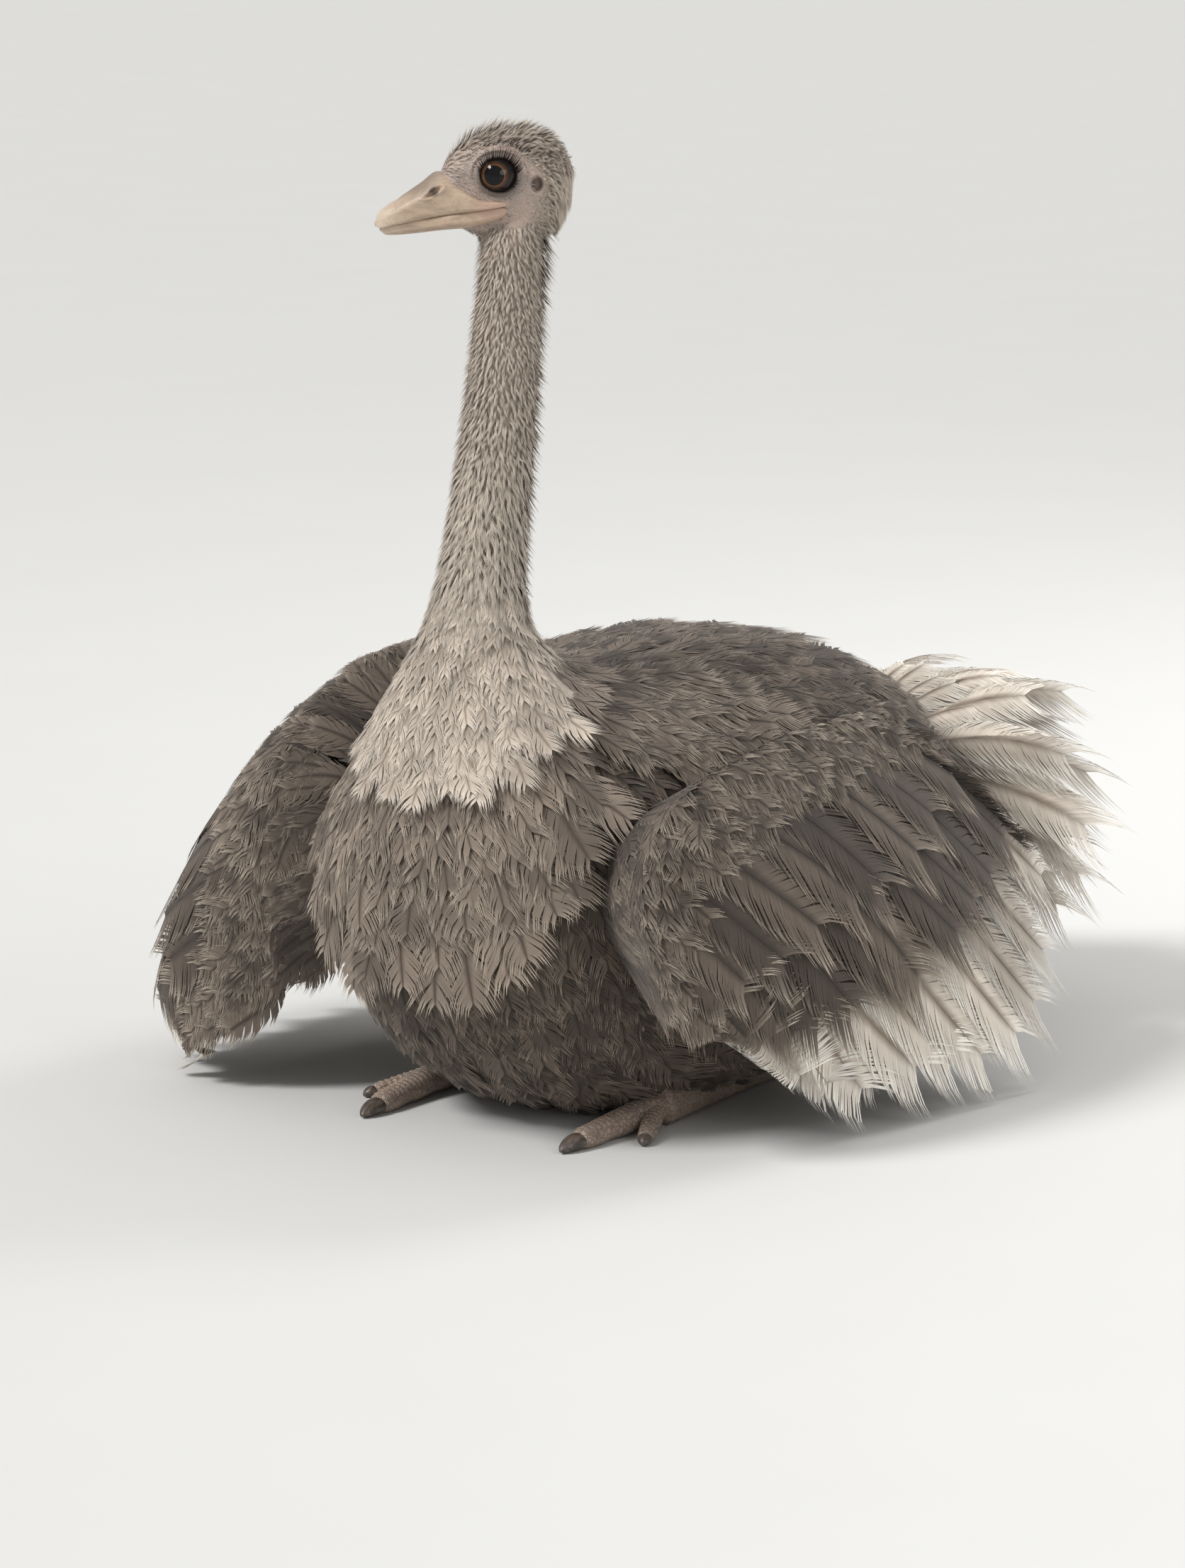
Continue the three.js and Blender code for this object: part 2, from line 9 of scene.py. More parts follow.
import bmesh
import bpy
import numpy as np
from mathutils import Matrix, Vector
from mathutils.bvhtree import BVHTree
from mathutils.kdtree import KDTree


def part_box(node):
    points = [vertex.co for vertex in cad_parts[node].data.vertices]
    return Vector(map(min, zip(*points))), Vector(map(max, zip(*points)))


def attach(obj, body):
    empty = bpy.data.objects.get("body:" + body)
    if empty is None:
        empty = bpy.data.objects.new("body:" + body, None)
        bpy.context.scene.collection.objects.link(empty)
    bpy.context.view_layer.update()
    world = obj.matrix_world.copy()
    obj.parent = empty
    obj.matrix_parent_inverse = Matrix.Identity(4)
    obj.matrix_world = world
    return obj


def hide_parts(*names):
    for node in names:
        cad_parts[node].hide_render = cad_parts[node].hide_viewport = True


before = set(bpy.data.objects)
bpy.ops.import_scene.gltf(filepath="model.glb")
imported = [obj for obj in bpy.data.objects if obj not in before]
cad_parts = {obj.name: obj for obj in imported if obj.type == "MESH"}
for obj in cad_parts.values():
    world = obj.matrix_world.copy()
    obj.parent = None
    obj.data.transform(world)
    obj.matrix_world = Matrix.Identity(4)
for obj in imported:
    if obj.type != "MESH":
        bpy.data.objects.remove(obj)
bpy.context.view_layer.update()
rng = np.random.default_rng(11)
MM = 0.001

# ---- camera, light and floor -------------------------------------------------------------------

CAMERA = {"azimuth": 35, "elevation": 11, "target": (0.057, -0.270, 0.42), "distance": 7.5,
          "lens": 170, "sensor": 36}


def aim(thing, place, target):
    thing.location = place
    thing.rotation_euler = (Vector(place) - Vector(target)).to_track_quat("Z", "Y").to_euler()


def make_camera():
    data = bpy.data.cameras.new("camera")
    data.lens, data.sensor_width, data.sensor_fit = CAMERA["lens"], CAMERA["sensor"], "HORIZONTAL"
    camera = bpy.data.objects.new("camera", data)
    bpy.context.scene.collection.objects.link(camera)
    a, e = math.radians(CAMERA["azimuth"]), math.radians(CAMERA["elevation"])
    back = Vector((math.sin(a) * math.cos(e), -math.cos(a) * math.cos(e), math.sin(e)))
    target = Vector(CAMERA["target"])
    aim(camera, target + back * CAMERA["distance"], target)
    bpy.context.scene.camera = camera


LIGHTS = {  # kind, place, target, softness, strength
    "key": ("SUN", (-1.6, -3.2, 3.9), (0.0, -0.1, 0.5), 0.30, 2.7),
    "fill": ("AREA", (4.4, -1.4, 2.4), (0.0, 0.0, 0.5), 2.6, 45),
    "back": ("AREA", (1.6, 3.8, 3.2), (0.0, 0.2, 0.6), 2.0, 100),
}
STUDIO_COLOUR, STUDIO_STRENGTH = (0.98, 0.975, 0.96, 1), 0.6
FLOOR_REACH = 30


def make_lights():
    for name, (kind, place, target, softness, strength) in LIGHTS.items():
        data = bpy.data.lights.new(name, kind)
        data.energy = strength
        if kind == "SUN":
            data.angle = softness
        else:
            data.shape, data.size = "DISK", softness
        lamp = bpy.data.objects.new(name, data)
        bpy.context.scene.collection.objects.link(lamp)
        aim(lamp, place, target)
    world = bpy.data.worlds.new("studio")
    world.use_nodes = True
    background = world.node_tree.nodes["Background"]
    background.inputs["Color"].default_value = STUDIO_COLOUR
    background.inputs["Strength"].default_value = STUDIO_STRENGTH
    bpy.context.scene.world = world
    bpy.context.scene.view_settings.view_transform = "Standard"


# ---- driving sizes, as in the solids -----------------------------------------------------------

BODY = [  # at, back y and z, front y and z, half width
    (0.0, -198, 1214, -292, 1184, 46), (0.1, -206, 1078, -310, 1064, 51),
    (0.2, -226, 920, -338, 908, 56), (0.3, -250, 768, -376, 752, 61),
    (0.38, -258, 676, -414, 640, 75), (0.46, -216, 620, -456, 535, 116),
    (0.54, -118, 606, -482, 420, 170), (0.62, 4, 612, -472, 290, 230),
    (0.7, 132, 612, -416, 160, 284), (0.78, 268, 594, -296, 45, 318),
    (0.86, 404, 556, -90, -12, 332), (0.93, 514, 500, 206, -4, 288),
    (0.975, 582, 440, 412, 92, 202), (1.0, 610, 388, 524, 200, 108),
]
SQUARENESS = [(0, 2), (0.4, 2), (0.7, 2.35), (1, 2.1)]  # along the body, 2 is an ellipse
SOLE = 1.0  # height of the body's flat under it
# Places along the body where the neck's down, the ruff and the bib end, how high the ruff and the
# bib stand, how many degrees the bib spreads from the throat, and how deep the edges' points are.
NECK_END = 0.345
RUFF = {"back": 0.465, "front": 0.505, "rise": 14}
BIB = {"back": 0.53, "front": 0.655, "rise": 24, "spread": 88}
TIP_DEPTH = 0.022
NAPE, THROAT = 0.5 * np.pi, 1.5 * np.pi  # angles round the body
TURN = (0, 2 * np.pi)

HEAD_AT = (-18, -262, 1251)  # between the eyes
HEAD_TURN, HEAD_NOD, HEAD_SCALE = 47, 7, 1.14
CRANIUM = [  # x, top, bottom, half width
    (-88, 8, -24, 14), (-80, 27, -48, 26), (-64, 43, -72, 35), (-38, 53, -88, 41),
    (-8, 56, -84, 42.5), (18, 52, -68, 39.5), (38, 38, -58, 34), (53, 21, -53, 29),
    (63, 4, -49, 24),
]
BILL_UPPER = [  # as the cranium's
    (-14, -31, -36, 34), (0, -27, -37, 40.5), (24, -22, -38, 40.5), (46, -2, -38.5, 36),
    (62, 9, -39, 31), (84, -2, -40, 28), (106, -13, -41.5, 26), (124, -21, -43, 22),
    (135, -28, -44.5, 15.5), (141, -35, -44, 7),
]
BILL_LOWER = [
    (-12, -35, -44, 32), (4, -35, -53, 38), (36, -36, -57, 34), (70, -37.5, -56, 27),
    (100, -39, -55.5, 23), (120, -41, -54.5, 18.5), (131, -42.5, -53, 12), (136, -43.5, -50, 6),
]
EYE = {"radius": 23.6, "out": 24.6}  # out is from the head's middle to the eyeball's
EAR = (-42, -16)  # x and z

WINGS = {  # points along the leading edge and the tips of the long plumes, and how far they bulge
    "left": {
        "edge": [(300, -366, 232), (296, -398, 350), (302, -350, 448), (318, -190, 506),
                 (318, 60, 520)],
        "tips": [(352, -262, 150), (406, -110, 44), (470, 110, 8), (474, 370, 44),
                 (352, 584, 200)],
        "bulge": 46,
    },
    "right": {
        "edge": [(-296, -330, 150), (-292, -368, 310), (-276, -350, 450), (-246, -250, 550),
                 (-206, -50, 586)],
        "tips": [(-462, -312, 40), (-578, -236, 8), (-612, -10, 8), (-570, 310, 40),
                 (-370, 600, 200)],
        "bulge": 96,
    },
}
WING_SPAN = 700  # length of a leading edge
WING_AXIS = (-170, 320, 230)  # the line the wings bulge from: its ends in y, and its z
WING_SOLE = 2.0  # lowest height of a wing's surface

TAIL_ROOT = (30, 548, 366)
TAIL_ROWS = [  # plumes, rise, fan, length, droop, root height
    (5, 39, 48, 384, 0.44, 32), (5, 25, 52, 404, 0.5, 4), (4, 4, 42, 356, 0.5, -40),
]
TAIL_TURN = 27

LEG = {"ankle": (150, 322, 27), "foot": (172, -168, 24), "knee": (226, -20, 230)}
TOES = {  # turn, length, radius, tip radius, nail length
    "inner": (-3, 172, 24, 17, 44), "outer": (27, 112, 18, 12, 17),
}

# ---- curves and surfaces -----------------------------------------------------------------------


def around(count):
    """Evenly spaced angles round a turn."""
    return np.arange(count) * 2 * np.pi / count


def unit(vectors):
    vectors = np.asarray(vectors, float)
    return vectors / np.maximum(np.linalg.norm(vectors, axis=-1, keepdims=True), 1e-12)


def smooth(x, low, high):
    """0 at low, 1 at high, smooth between."""
    t = np.clip((np.asarray(x, float) - low) / (high - low), 0, 1)
    return t * t * (3 - 2 * t)


def through(stations):
    """A smooth curve of numbers through (place, value) stations."""
    place, value = np.array(stations, float).T
    order = np.arange(len(place))
    before, after = np.maximum(order - 1, 0), np.minimum(order + 1, len(place) - 1)
    slope = (value[after] - value[before]) / (place[after] - place[before])

    def curve(x):
        x = np.asarray(x, float)
        i = np.clip(np.searchsorted(place, x) - 1, 0, len(place) - 2)
        step = place[i + 1] - place[i]
        t = np.clip((x - place[i]) / step, 0, 1)
        rise = slope[i] * t * (1 - t) ** 2 + slope[i + 1] * t * t * (t - 1)
        return value[i] + (value[i + 1] - value[i]) * t * t * (3 - 2 * t) + rise * step

    return curve


def rounded(angle, power):
    """The point at an angle on a rounded square of half width 1."""
    cos, sin = np.cos(angle), np.sin(angle)
    return np.sign(cos) * np.abs(cos) ** (2 / power), np.sign(sin) * np.abs(sin) ** (2 / power)


def middle_of(*nodes):
    """The middle between some nodes of the solids."""
    corners = [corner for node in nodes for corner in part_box(node)]
    return sum(corners, Vector()) / len(corners)


SHIFT = np.array(middle_of("eye_left", "eye_right")) - np.array(HEAD_AT) * MM
SHIFT[2] = 0.0

back_y, back_z, front_y, front_z, half_width = (
    through([(s[0], s[k]) for s in BODY]) for k in range(1, 6)
)
squareness = through(SQUARENESS)


def body_inside(at, angle, out):
    """A point of the body between its ends, in mm of the bird's own frame."""
    centre = np.stack([(back_y(at) + front_y(at)) / 2, (back_z(at) + front_z(at)) / 2], -1)
    back = np.stack([back_y(at), back_z(at)], -1)
    front = np.stack([front_y(at), front_z(at)], -1)
    reach = np.where(np.sin(angle)[..., None] > 0, back, front) - centre
    length = np.linalg.norm(reach, axis=-1)
    across, over = rounded(angle, squareness(at))
    point = centre + reach * (np.abs(over) * (length + out) / length)[..., None]
    return np.stack([across * (half_width(at) + out), point[..., 0], point[..., 1]], -1)


def body(at, angle, out=0.0):
    """The body's outside at a place along it and an angle round it: 0 is the bird's left, NAPE the
    nape and back, THROAT the throat and belly. out is the height over it, in mm."""
    at, angle, out = (np.asarray(v, float) for v in (at, angle, out))
    at, angle, out = np.broadcast_arrays(at, angle, out)
    point = body_inside(np.clip(at, 0, 1), angle, out)
    past = np.maximum(at - 1, 0)
    if past.any():
        last = 0.02
        before = body_inside(np.full_like(at, 1 - last), angle, out)
        end = (body_inside(np.ones_like(at), angle, out) - before) / last
        point = point + end * past[..., None]
    point[..., 2] = np.maximum(point[..., 2], SOLE)
    return point * MM + SHIFT


def catmull(points):
    """A centripetal curve through points, carried on straight past its ends."""
    p = np.array(points, float)
    p = np.vstack([2 * p[0] - p[1], p, 2 * p[-1] - p[-2]])
    count = len(points) - 1
    steps = np.linspace(0, 1, 25)
    place, samples = [], []
    for i in range(count):
        p0, p1, p2, p3 = p[i:i + 4]
        d0, d1, d2 = (np.linalg.norm(b - a) ** 0.5 for a, b in ((p0, p1), (p1, p2), (p2, p3)))
        m1 = ((p1 - p0) / d0 - (p2 - p0) / (d0 + d1) + (p2 - p1) / d1) * d1
        m2 = ((p2 - p1) / d1 - (p3 - p1) / (d1 + d2) + (p3 - p2) / d2) * d1
        t = steps[:, None]
        square, cube = 3 * (p2 - p1) - 2 * m1 - m2, 2 * (p1 - p2) + m1 + m2
        curve = p1 + m1 * t + square * t**2 + cube * t**3
        keep = slice(0, None if i == count - 1 else -1)
        place.extend(((i + steps) / count)[keep])
        samples.extend(curve[keep])
    place, samples = np.array(place), np.array(samples)
    ends = unit(samples[1] - samples[0]), unit(samples[-1] - samples[-2])

    def line(x):
        inside = np.clip(x, 0, 1)
        point = np.stack([np.interp(inside, place, samples[:, k]) for k in range(3)], -1)
        past = (x - inside)[..., None] * WING_SPAN
        return point + np.where(past < 0, ends[0], ends[1]) * past

    return line


def nearest_body(points, out):
    """The places at a height over the body that are nearest to points, in the bird's own mm."""
    at, angle = np.meshgrid(np.linspace(0.42, 0.9, 97), around(96))
    places = ((body(at, angle, out) - SHIFT) / MM).reshape(-1, 3)
    return places[np.linalg.norm(points[:, None] - places[None], axis=-1).argmin(1)]


def wing_surface(wing):
    """The outside of a wing: span runs along its leading edge, down from there to the plumes' tips,
    and down below 0 runs from the edge across to the body."""
    edge, tips, bulge = catmull(wing["edge"]), catmull(wing["tips"]), wing["bulge"]
    root = catmull(nearest_body(edge(np.linspace(0, 1, 6)), -14))

    def surface(span, down, out=0.0):
        span, down, out = np.broadcast_arrays(*(np.asarray(v, float) for v in (span, down, out)))
        over, back = np.maximum(down, 0)[..., None], np.clip(-4 * down, 0, 1.2)[..., None]
        point = edge(span) * (1 - over) + tips(span) * over + (root(span) - edge(span)) * back
        axis_y, axis_z = np.clip(point[..., 1], *WING_AXIS[:2]), np.full_like(down, WING_AXIS[2])
        axis = np.stack([np.zeros_like(down), axis_y, axis_z], -1)
        swell = bulge * np.sin(np.pi * np.clip(down, 0, 1) ** 0.8)
        point = point + unit(point - axis) * (swell + out)[..., None]
        point[..., 2] = np.maximum(point[..., 2], WING_SOLE)
        return point * MM + SHIFT

    return surface


HEAD_FRAME = (
    Matrix.Translation(Vector(HEAD_AT) * MM + Vector(SHIFT))
    @ Matrix.Rotation(math.radians(-90 - HEAD_TURN), 4, "Z")
    @ Matrix.Rotation(math.radians(HEAD_NOD), 4, "Y")
    @ Matrix.Scale(HEAD_SCALE * MM, 4)
)
HEAD_ARRAY = np.array(HEAD_FRAME)


def from_head(points):
    """From mm of the head's own frame, with x along the bill, to the frame of the solids."""
    return np.asarray(points) @ HEAD_ARRAY[:3, :3].T + HEAD_ARRAY[:3, 3]


def to_head(points):
    back = np.linalg.inv(HEAD_ARRAY)
    return np.asarray(points) @ back[:3, :3].T + back[:3, 3]


def head_section(stations, over, under):
    """A surface in the head's own frame from (x, top, bottom, half width) stations."""
    top, bottom, half = (through([(s[0], s[k]) for s in stations]) for k in (1, 2, 3))

    def surface(x, angle, out=0.0):
        x, angle, out = np.broadcast_arrays(*(np.asarray(v, float) for v in (x, angle, out)))
        tall = (top(x) - bottom(x)) / 2 + out
        across, high = rounded(angle, np.where(np.sin(angle) > 0, over, under))
        return np.stack([x, across * (half(x) + out), (top(x) + bottom(x)) / 2 + high * tall], -1)

    return surface


cranium = head_section(CRANIUM, 2.15, 2.15)
upper_bill = head_section(BILL_UPPER, 2.4, 7)
lower_bill = head_section(BILL_LOWER, 7, 2.3)


def scalp(x, angle, out=0.0):
    return from_head(cranium(x, angle, out))


# ---- meshes ------------------------------------------------------------------------------------


def new_piece(name, mesh, finishes, hides=()):
    """Puts a finished mesh in the scene as a piece of the bird."""
    mesh.name = name
    piece = bpy.data.objects.new(name, mesh)
    bpy.context.scene.collection.objects.link(piece)
    for finish in finishes:
        mesh.materials.append(finish)
    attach(piece, "root")
    if hides:
        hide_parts(*hides)


def tube(points):
    """A closed bmesh through rings of points [ring, around, xyz]. Its ends are drawn to their
    middles."""
    points = np.asarray(points, float)
    ends = [np.broadcast_to(p.mean(0), p.shape)[None] for p in (points[0], points[-1])]
    points = np.concatenate([ends[0], points, ends[1]])
    points = np.concatenate([points, points[:, :1]], 1)
    rows, columns = points.shape[0] - 1, points.shape[1] - 1
    shell = bmesh.new()
    bmesh.ops.create_grid(shell, x_segments=columns, y_segments=rows, size=1.0)
    for vert in shell.verts:
        i = round((vert.co.x + 1) / 2 * columns)
        j = round((vert.co.y + 1) / 2 * rows)
        vert.co = points[j, i]
    bmesh.ops.remove_doubles(shell, verts=shell.verts[:], dist=1e-6)
    bmesh.ops.recalc_face_normals(shell, faces=shell.faces[:])
    return shell


def gather(shells):
    """One bmesh from several."""
    whole = bmesh.new()
    for shell in shells:
        mesh = bpy.data.meshes.new("part")
        shell.to_mesh(mesh)
        shell.free()
        whole.from_mesh(mesh)
        bpy.data.meshes.remove(mesh)
    return whole


def remeshed(shell, voxel):
    """The outside of a bmesh's overlapping closed bodies, as one even mesh."""
    mesh = bpy.data.meshes.new("solid")
    shell.to_mesh(mesh)
    shell.free()
    holder = bpy.data.objects.new("solid", mesh)
    bpy.context.scene.collection.objects.link(holder)
    change = holder.modifiers.new("voxels", "REMESH")
    change.mode, change.voxel_size = "VOXEL", voxel
    evaluated = holder.evaluated_get(bpy.context.evaluated_depsgraph_get())
    made = bpy.data.meshes.new_from_object(evaluated)
    bpy.data.objects.remove(holder)
    bpy.data.meshes.remove(mesh)
    result = bmesh.new()
    result.from_mesh(made)
    bpy.data.meshes.remove(made)
    return result


def soften(shell, verts, times, factor=0.5):
    for _ in range(times):
        bmesh.ops.smooth_vert(
            shell, verts=verts, factor=factor, use_axis_x=True, use_axis_y=True, use_axis_z=True
        )


def move(shell, change):
    """Moves every vertex: change takes and returns an array of places."""
    places = np.array([v.co for v in shell.verts])
    for vert, place in zip(shell.verts, change(places)):
        vert.co = place


def finished(shell):
    """A smooth-shaded mesh from a bmesh."""
    for face in shell.faces:
        face.smooth = True
    mesh = bpy.data.meshes.new("mesh")
    shell.to_mesh(mesh)
    shell.free()
    return mesh


# ---- finishes ----------------------------------------------------------------------------------


NOISE_ROUGHNESS = 0.55


def socket_name(key):
    """The name of a shader's socket from a keyword."""
    return key if key.isupper() else key.replace("_", " ").title()


class Value:
    """A socket's value in a finish. Arithmetic on it adds Math nodes."""

    def __init__(self, finish, socket):
        self.finish, self.socket = finish, socket

    def math(self, operation, *values):
        return self.finish.node("ShaderNodeMath", {"operation": operation}, dict(enumerate(values)))

    def __add__(self, other):
        return self.math("ADD", self, other)

    def __sub__(self, other):
        return self.math("SUBTRACT", self, other)

    def __rsub__(self, other):
        return self.math("SUBTRACT", other, self)

    def __mul__(self, other):
        return self.math("MULTIPLY", self, other)

    __radd__, __rmul__ = __add__, __mul__

    def between(self, low, high):
        """0 at low, 1 at high, smooth between."""
        return self.finish.node(
            "ShaderNodeMapRange", {"interpolation_type": "SMOOTHSTEP"},
            {"Value": self, "From Min": low, "From Max": high},
        )


class Finish:
    """A procedural material. Its base is one Principled BSDF."""

    def __init__(self, name, **constants):
        self.material = bpy.data.materials.new(name)
        self.material.use_nodes = True
        self.tree = self.material.node_tree
        self.shader = self.tree.nodes["Principled BSDF"]
        for key, value in constants.items():
            self.shader.inputs[socket_name(key)].default_value = value

    def node(self, kind, settings=None, inputs=None, output=0):
        """Adds a node, sets it up, then feeds its sockets with values or links."""
        made = self.tree.nodes.new(kind)
        for key, value in (settings or {}).items():
            setattr(made, key, value)
        for key, value in (inputs or {}).items():
            self.feed(made.inputs[key], value)
        return Value(self, made.outputs[output])

    def feed(self, socket, value):
        if isinstance(value, Value):
            self.tree.links.new(value.socket, socket)
        elif isinstance(value, tuple) and len(value) == 3 and socket.type == "RGBA":
            socket.default_value = (*value, 1)
        else:
            socket.default_value = value

    def place(self):
        """Object coordinates."""
        return self.node("ShaderNodeTexCoord", output="Object")

    def parts(self, vector):
        split = self.node("ShaderNodeSeparateXYZ", inputs={0: vector}).socket.node
        return [Value(self, split.outputs[k]) for k in range(3)]

    def map(self, name):
        """The two numbers of one of the piece's own UV maps."""
        return self.parts(self.node("ShaderNodeUVMap", {"uv_map": name}))[:2]

    def noise(self, scale, detail=3.0, stretch=None):
        place = self.place()
        if stretch:
            place = self.node("ShaderNodeMapping", inputs={"Vector": place, "Scale": stretch})
        sockets = {"Vector": place, "Scale": scale, "Detail": detail, "Roughness": NOISE_ROUGHNESS}
        return self.node("ShaderNodeTexNoise", inputs=sockets)

    def mix(self, share, low, high, blend="MIX"):
        """A colour between two. The colours are the node's inputs 6 and 7, the result output 2."""
        return self.node(
            "ShaderNodeMix", {"data_type": "RGBA", "blend_type": blend},
            {0: share, 6: low, 7: high}, 2,
        )

    def far(self, centre):
        """Distance from a point."""
        return self.node(
            "ShaderNodeVectorMath", {"operation": "DISTANCE"},
            {0: self.place(), 1: tuple(centre)}, "Value",
        )

    def bump(self, height, distance, strength):
        return self.node(
            "ShaderNodeBump", inputs={"Height": height, "Distance": distance, "Strength": strength}
        )

    def done(self, **varying):
        """The material, once what varies over it is fed to its shader."""
        for key, value in varying.items():
            self.feed(self.shader.inputs[socket_name(key)], value)
        return self.material


# ---- the skin ----------------------------------------------------------------------------------

# How deep the skin lies under the solids' outside, along the body and along the head, and how
# thick the arm is under a wing's outside, from its leading edge down.
coat_depth = through([(0, 8), (0.28, 9), (0.36, 16), (0.46, 30), (0.6, 42), (1, 48)])
head_coat = through([(-88, 7), (20, 6), (40, 2.5), (55, 0.8), (63, 0.5)])
arm_depth = through([(0, 30), (0.12, 84), (0.35, 64), (0.6, 26), (1, 11)])

TRUNK_VOXEL, HEAD_VOXEL = 0.0122, 0.0031  # fineness of the grown-together skin, in metres
TAIL_STUMP = (0.105, 0.088, 0.076)  # half sizes, in metres
GROUND = 0.3  # lowest height of the legs' skin
THIGH_BEND = (236, 170, 180)  # between knee and ankle


def swept(path, sizes, count, segments):
    """Rings of points round a path: sizes gives the half width and half height at 0 to 1."""
    t = np.linspace(0, 1, count)
    centre = path(t)
    forward = unit(np.gradient(centre, axis=0))
    side = unit(np.cross(forward, (0, 0, 1)))
    over = np.cross(side, forward)
    wide, tall = sizes(t)
    turn = around(segments)[None, :, None]
    rings = centre[:, None] + side[:, None] * np.cos(turn) * np.asarray(wide)[:, None, None]
    return rings + over[:, None] * np.sin(turn) * np.asarray(tall)[:, None, None]


def grounded(rings):
    """Rings in the solids' frame, flattened where they would sink into the ground."""
    rings = np.array(rings)
    rings[..., 2] = np.maximum(rings[..., 2], GROUND)
    return rings * MM + SHIFT


def raised(rings, relief):
    """Rings pushed out from their middles by a relief in mm."""
    return rings + unit(rings - rings.mean(1, keepdims=True)) * relief[..., None]


def straight(start, end):
    """A straight path, for swept."""
    start, end = np.array(start, float), np.array(end, float)
    return lambda t: start + (end - start) * t[:, None]


def arched(start, bend, end):
    """A path that bends towards a point, for swept."""
    start, bend, end = (np.array(p, float) for p in (start, bend, end))
    return lambda t: (
        start * ((1 - t) ** 2)[:, None] + bend * (2 * t * (1 - t))[:, None]
        + end * (t * t)[:, None]
    )


def trunk_flesh():
    """Trunk, arms, stump of the tail and thighs, grown together."""
    at = np.linspace(0.33, 1.0, 64)[:, None]
    shells = [tube(body(at, around(96)[None], -coat_depth(at)))]
    down = np.linspace(0, 0.6, 10)
    for wing in WINGS.values():
        surface = wing_surface(wing)
        rings = []
        for span in np.linspace(0.12, 0.97, 34):
            outside = surface(span, down, -16)
            inside = surface(span, down, 8 - arm_depth(down))
            rings.append(np.concatenate([outside, inside[::-1]]))
        shells.append(tube(rings))
    stump = bmesh.new()
    size = Matrix.Diagonal((*TAIL_STUMP, 1))
    place = Matrix.Translation(Vector(TAIL_ROOT) * MM + Vector(SHIFT))
    bmesh.ops.create_uvsphere(stump, u_segments=32, v_segments=20, radius=1, matrix=place @ size)
    shells.append(stump)
    for side in (1, -1):
        flip = np.array((side, 1, 1))
        knee, ankle = np.array(LEG["knee"]) * flip, np.array(LEG["ankle"]) * flip
        size = through([(0, 22), (0.12, 73), (0.4, 88), (0.8, 46), (1, 33)])
        path = arched(knee, np.array(THIGH_BEND) * flip, ankle + (0, 8, 26))
        shells.append(tube(grounded(swept(path, lambda t: (size(t) * 0.7, size(t)), 24, 28))))
    flesh = remeshed(gather(shells), TRUNK_VOXEL)
    soften(flesh, flesh.verts[:], 3)
    return flesh


def bell(x, z, centre, width, height):
    """A soft round swelling in a side view: 1 at its centre."""
    return np.exp(-(((x - centre[0]) / width) ** 2) - ((z - centre[1]) / height) ** 2)


LID_RIM = (20.5, 18.2)  # half width and half height of the eye's opening
EYE_LEAN = math.radians(8)
EAR_RIM = (7.5, 9.5)
# Relief over the head's side, from an opening's middle out, in shares of its rim.
lid_relief = through([
    (0, -26), (0.80, -26), (0.97, -3), (1.02, 4.6), (1.1, 6.9), (1.24, 6.2), (1.36, 3.6),
    (1.46, 3.9), (1.58, 5.0), (1.7, 3.4), (1.82, 3.2), (1.95, 3.0), (2.2, 1.2), (2.6, 0),
])
ear_relief = through([(0, -7), (0.5, -6), (0.9, 1.5), (1.2, 4.2), (1.6, 2.2), (2.4, 0)])


def opening(x, z, centre, rim, lean=0.0):
    """Distance from an opening's middle, in shares of its rim."""
    c, s = math.cos(lean), math.sin(lean)
    dx, dz = x - centre[0], z - centre[1]
    return np.hypot((c * dx + s * dz) / rim[0], (c * dz - s * dx) / rim[1])


def from_openings(x, z):
    """Distances from the eye's and the ear's openings."""
    return opening(x, z, (0, 0), LID_RIM), opening(x, z, EAR, EAR_RIM)


def sculpt_head(places):
    """The lids, brow, ear rims, lores and cheeks, as moves in the head's own frame."""
    local = to_head(places)
    x, y, z = local.T
    near = smooth(z, -104, -84) * smooth(-x, -62, -50)
    side = np.sign(y)
    flank = smooth(np.abs(y), 8, 20) * near
    eye = opening(x, z, (0, 0), LID_RIM, EYE_LEAN)
    above = z / np.maximum(np.hypot(x, z), 1)
    ring = np.where(eye > 1.02, 1 + 0.28 * above, 1)  # the upper lid stands out more
    wrinkle = 0.45 * np.sin(eye * 26) * smooth(eye, 1.25, 1.45) * smooth(-eye, -2.4, -1.9)
    across = lid_relief(eye) * ring + wrinkle
    # brow and temple, cheek and lore, and the ridge to the bill's corner
    across += 4.6 * bell(x, z, (6, 30), 26, 7.5) - 2.2 * bell(x, z, (-44, 20), 20, 22)
    across += 3.2 * bell(x, z, (-26, -46), 30, 15) - 3.0 * bell(x, z, (40, -6), 9, 13)
    across += 2.0 * bell(x, z, (22, -30), 26, 6)
    across += ear_relief(opening(x, z, EAR, EAR_RIM)) * smooth(eye, 1.6, 2.2)
    local[:, 1] += side * across * flank
    crown = smooth(z, 20, 45) * near
    throat = bell(x, z, (26, -62), 17, 15) * smooth(-np.abs(y), -30, -16)
    local[:, 2] -= 2.2 * crown * np.exp(-((y / 7) ** 2)) + 8 * throat
    local[:, 0] += 5 * throat
    return from_head(local)


def places_on_head(shell):
    """A bmesh's x, distance from the middle and z in the head's own frame."""
    x, y, z = to_head(np.array([v.co for v in shell.verts])).T
    return x, np.abs(y), z


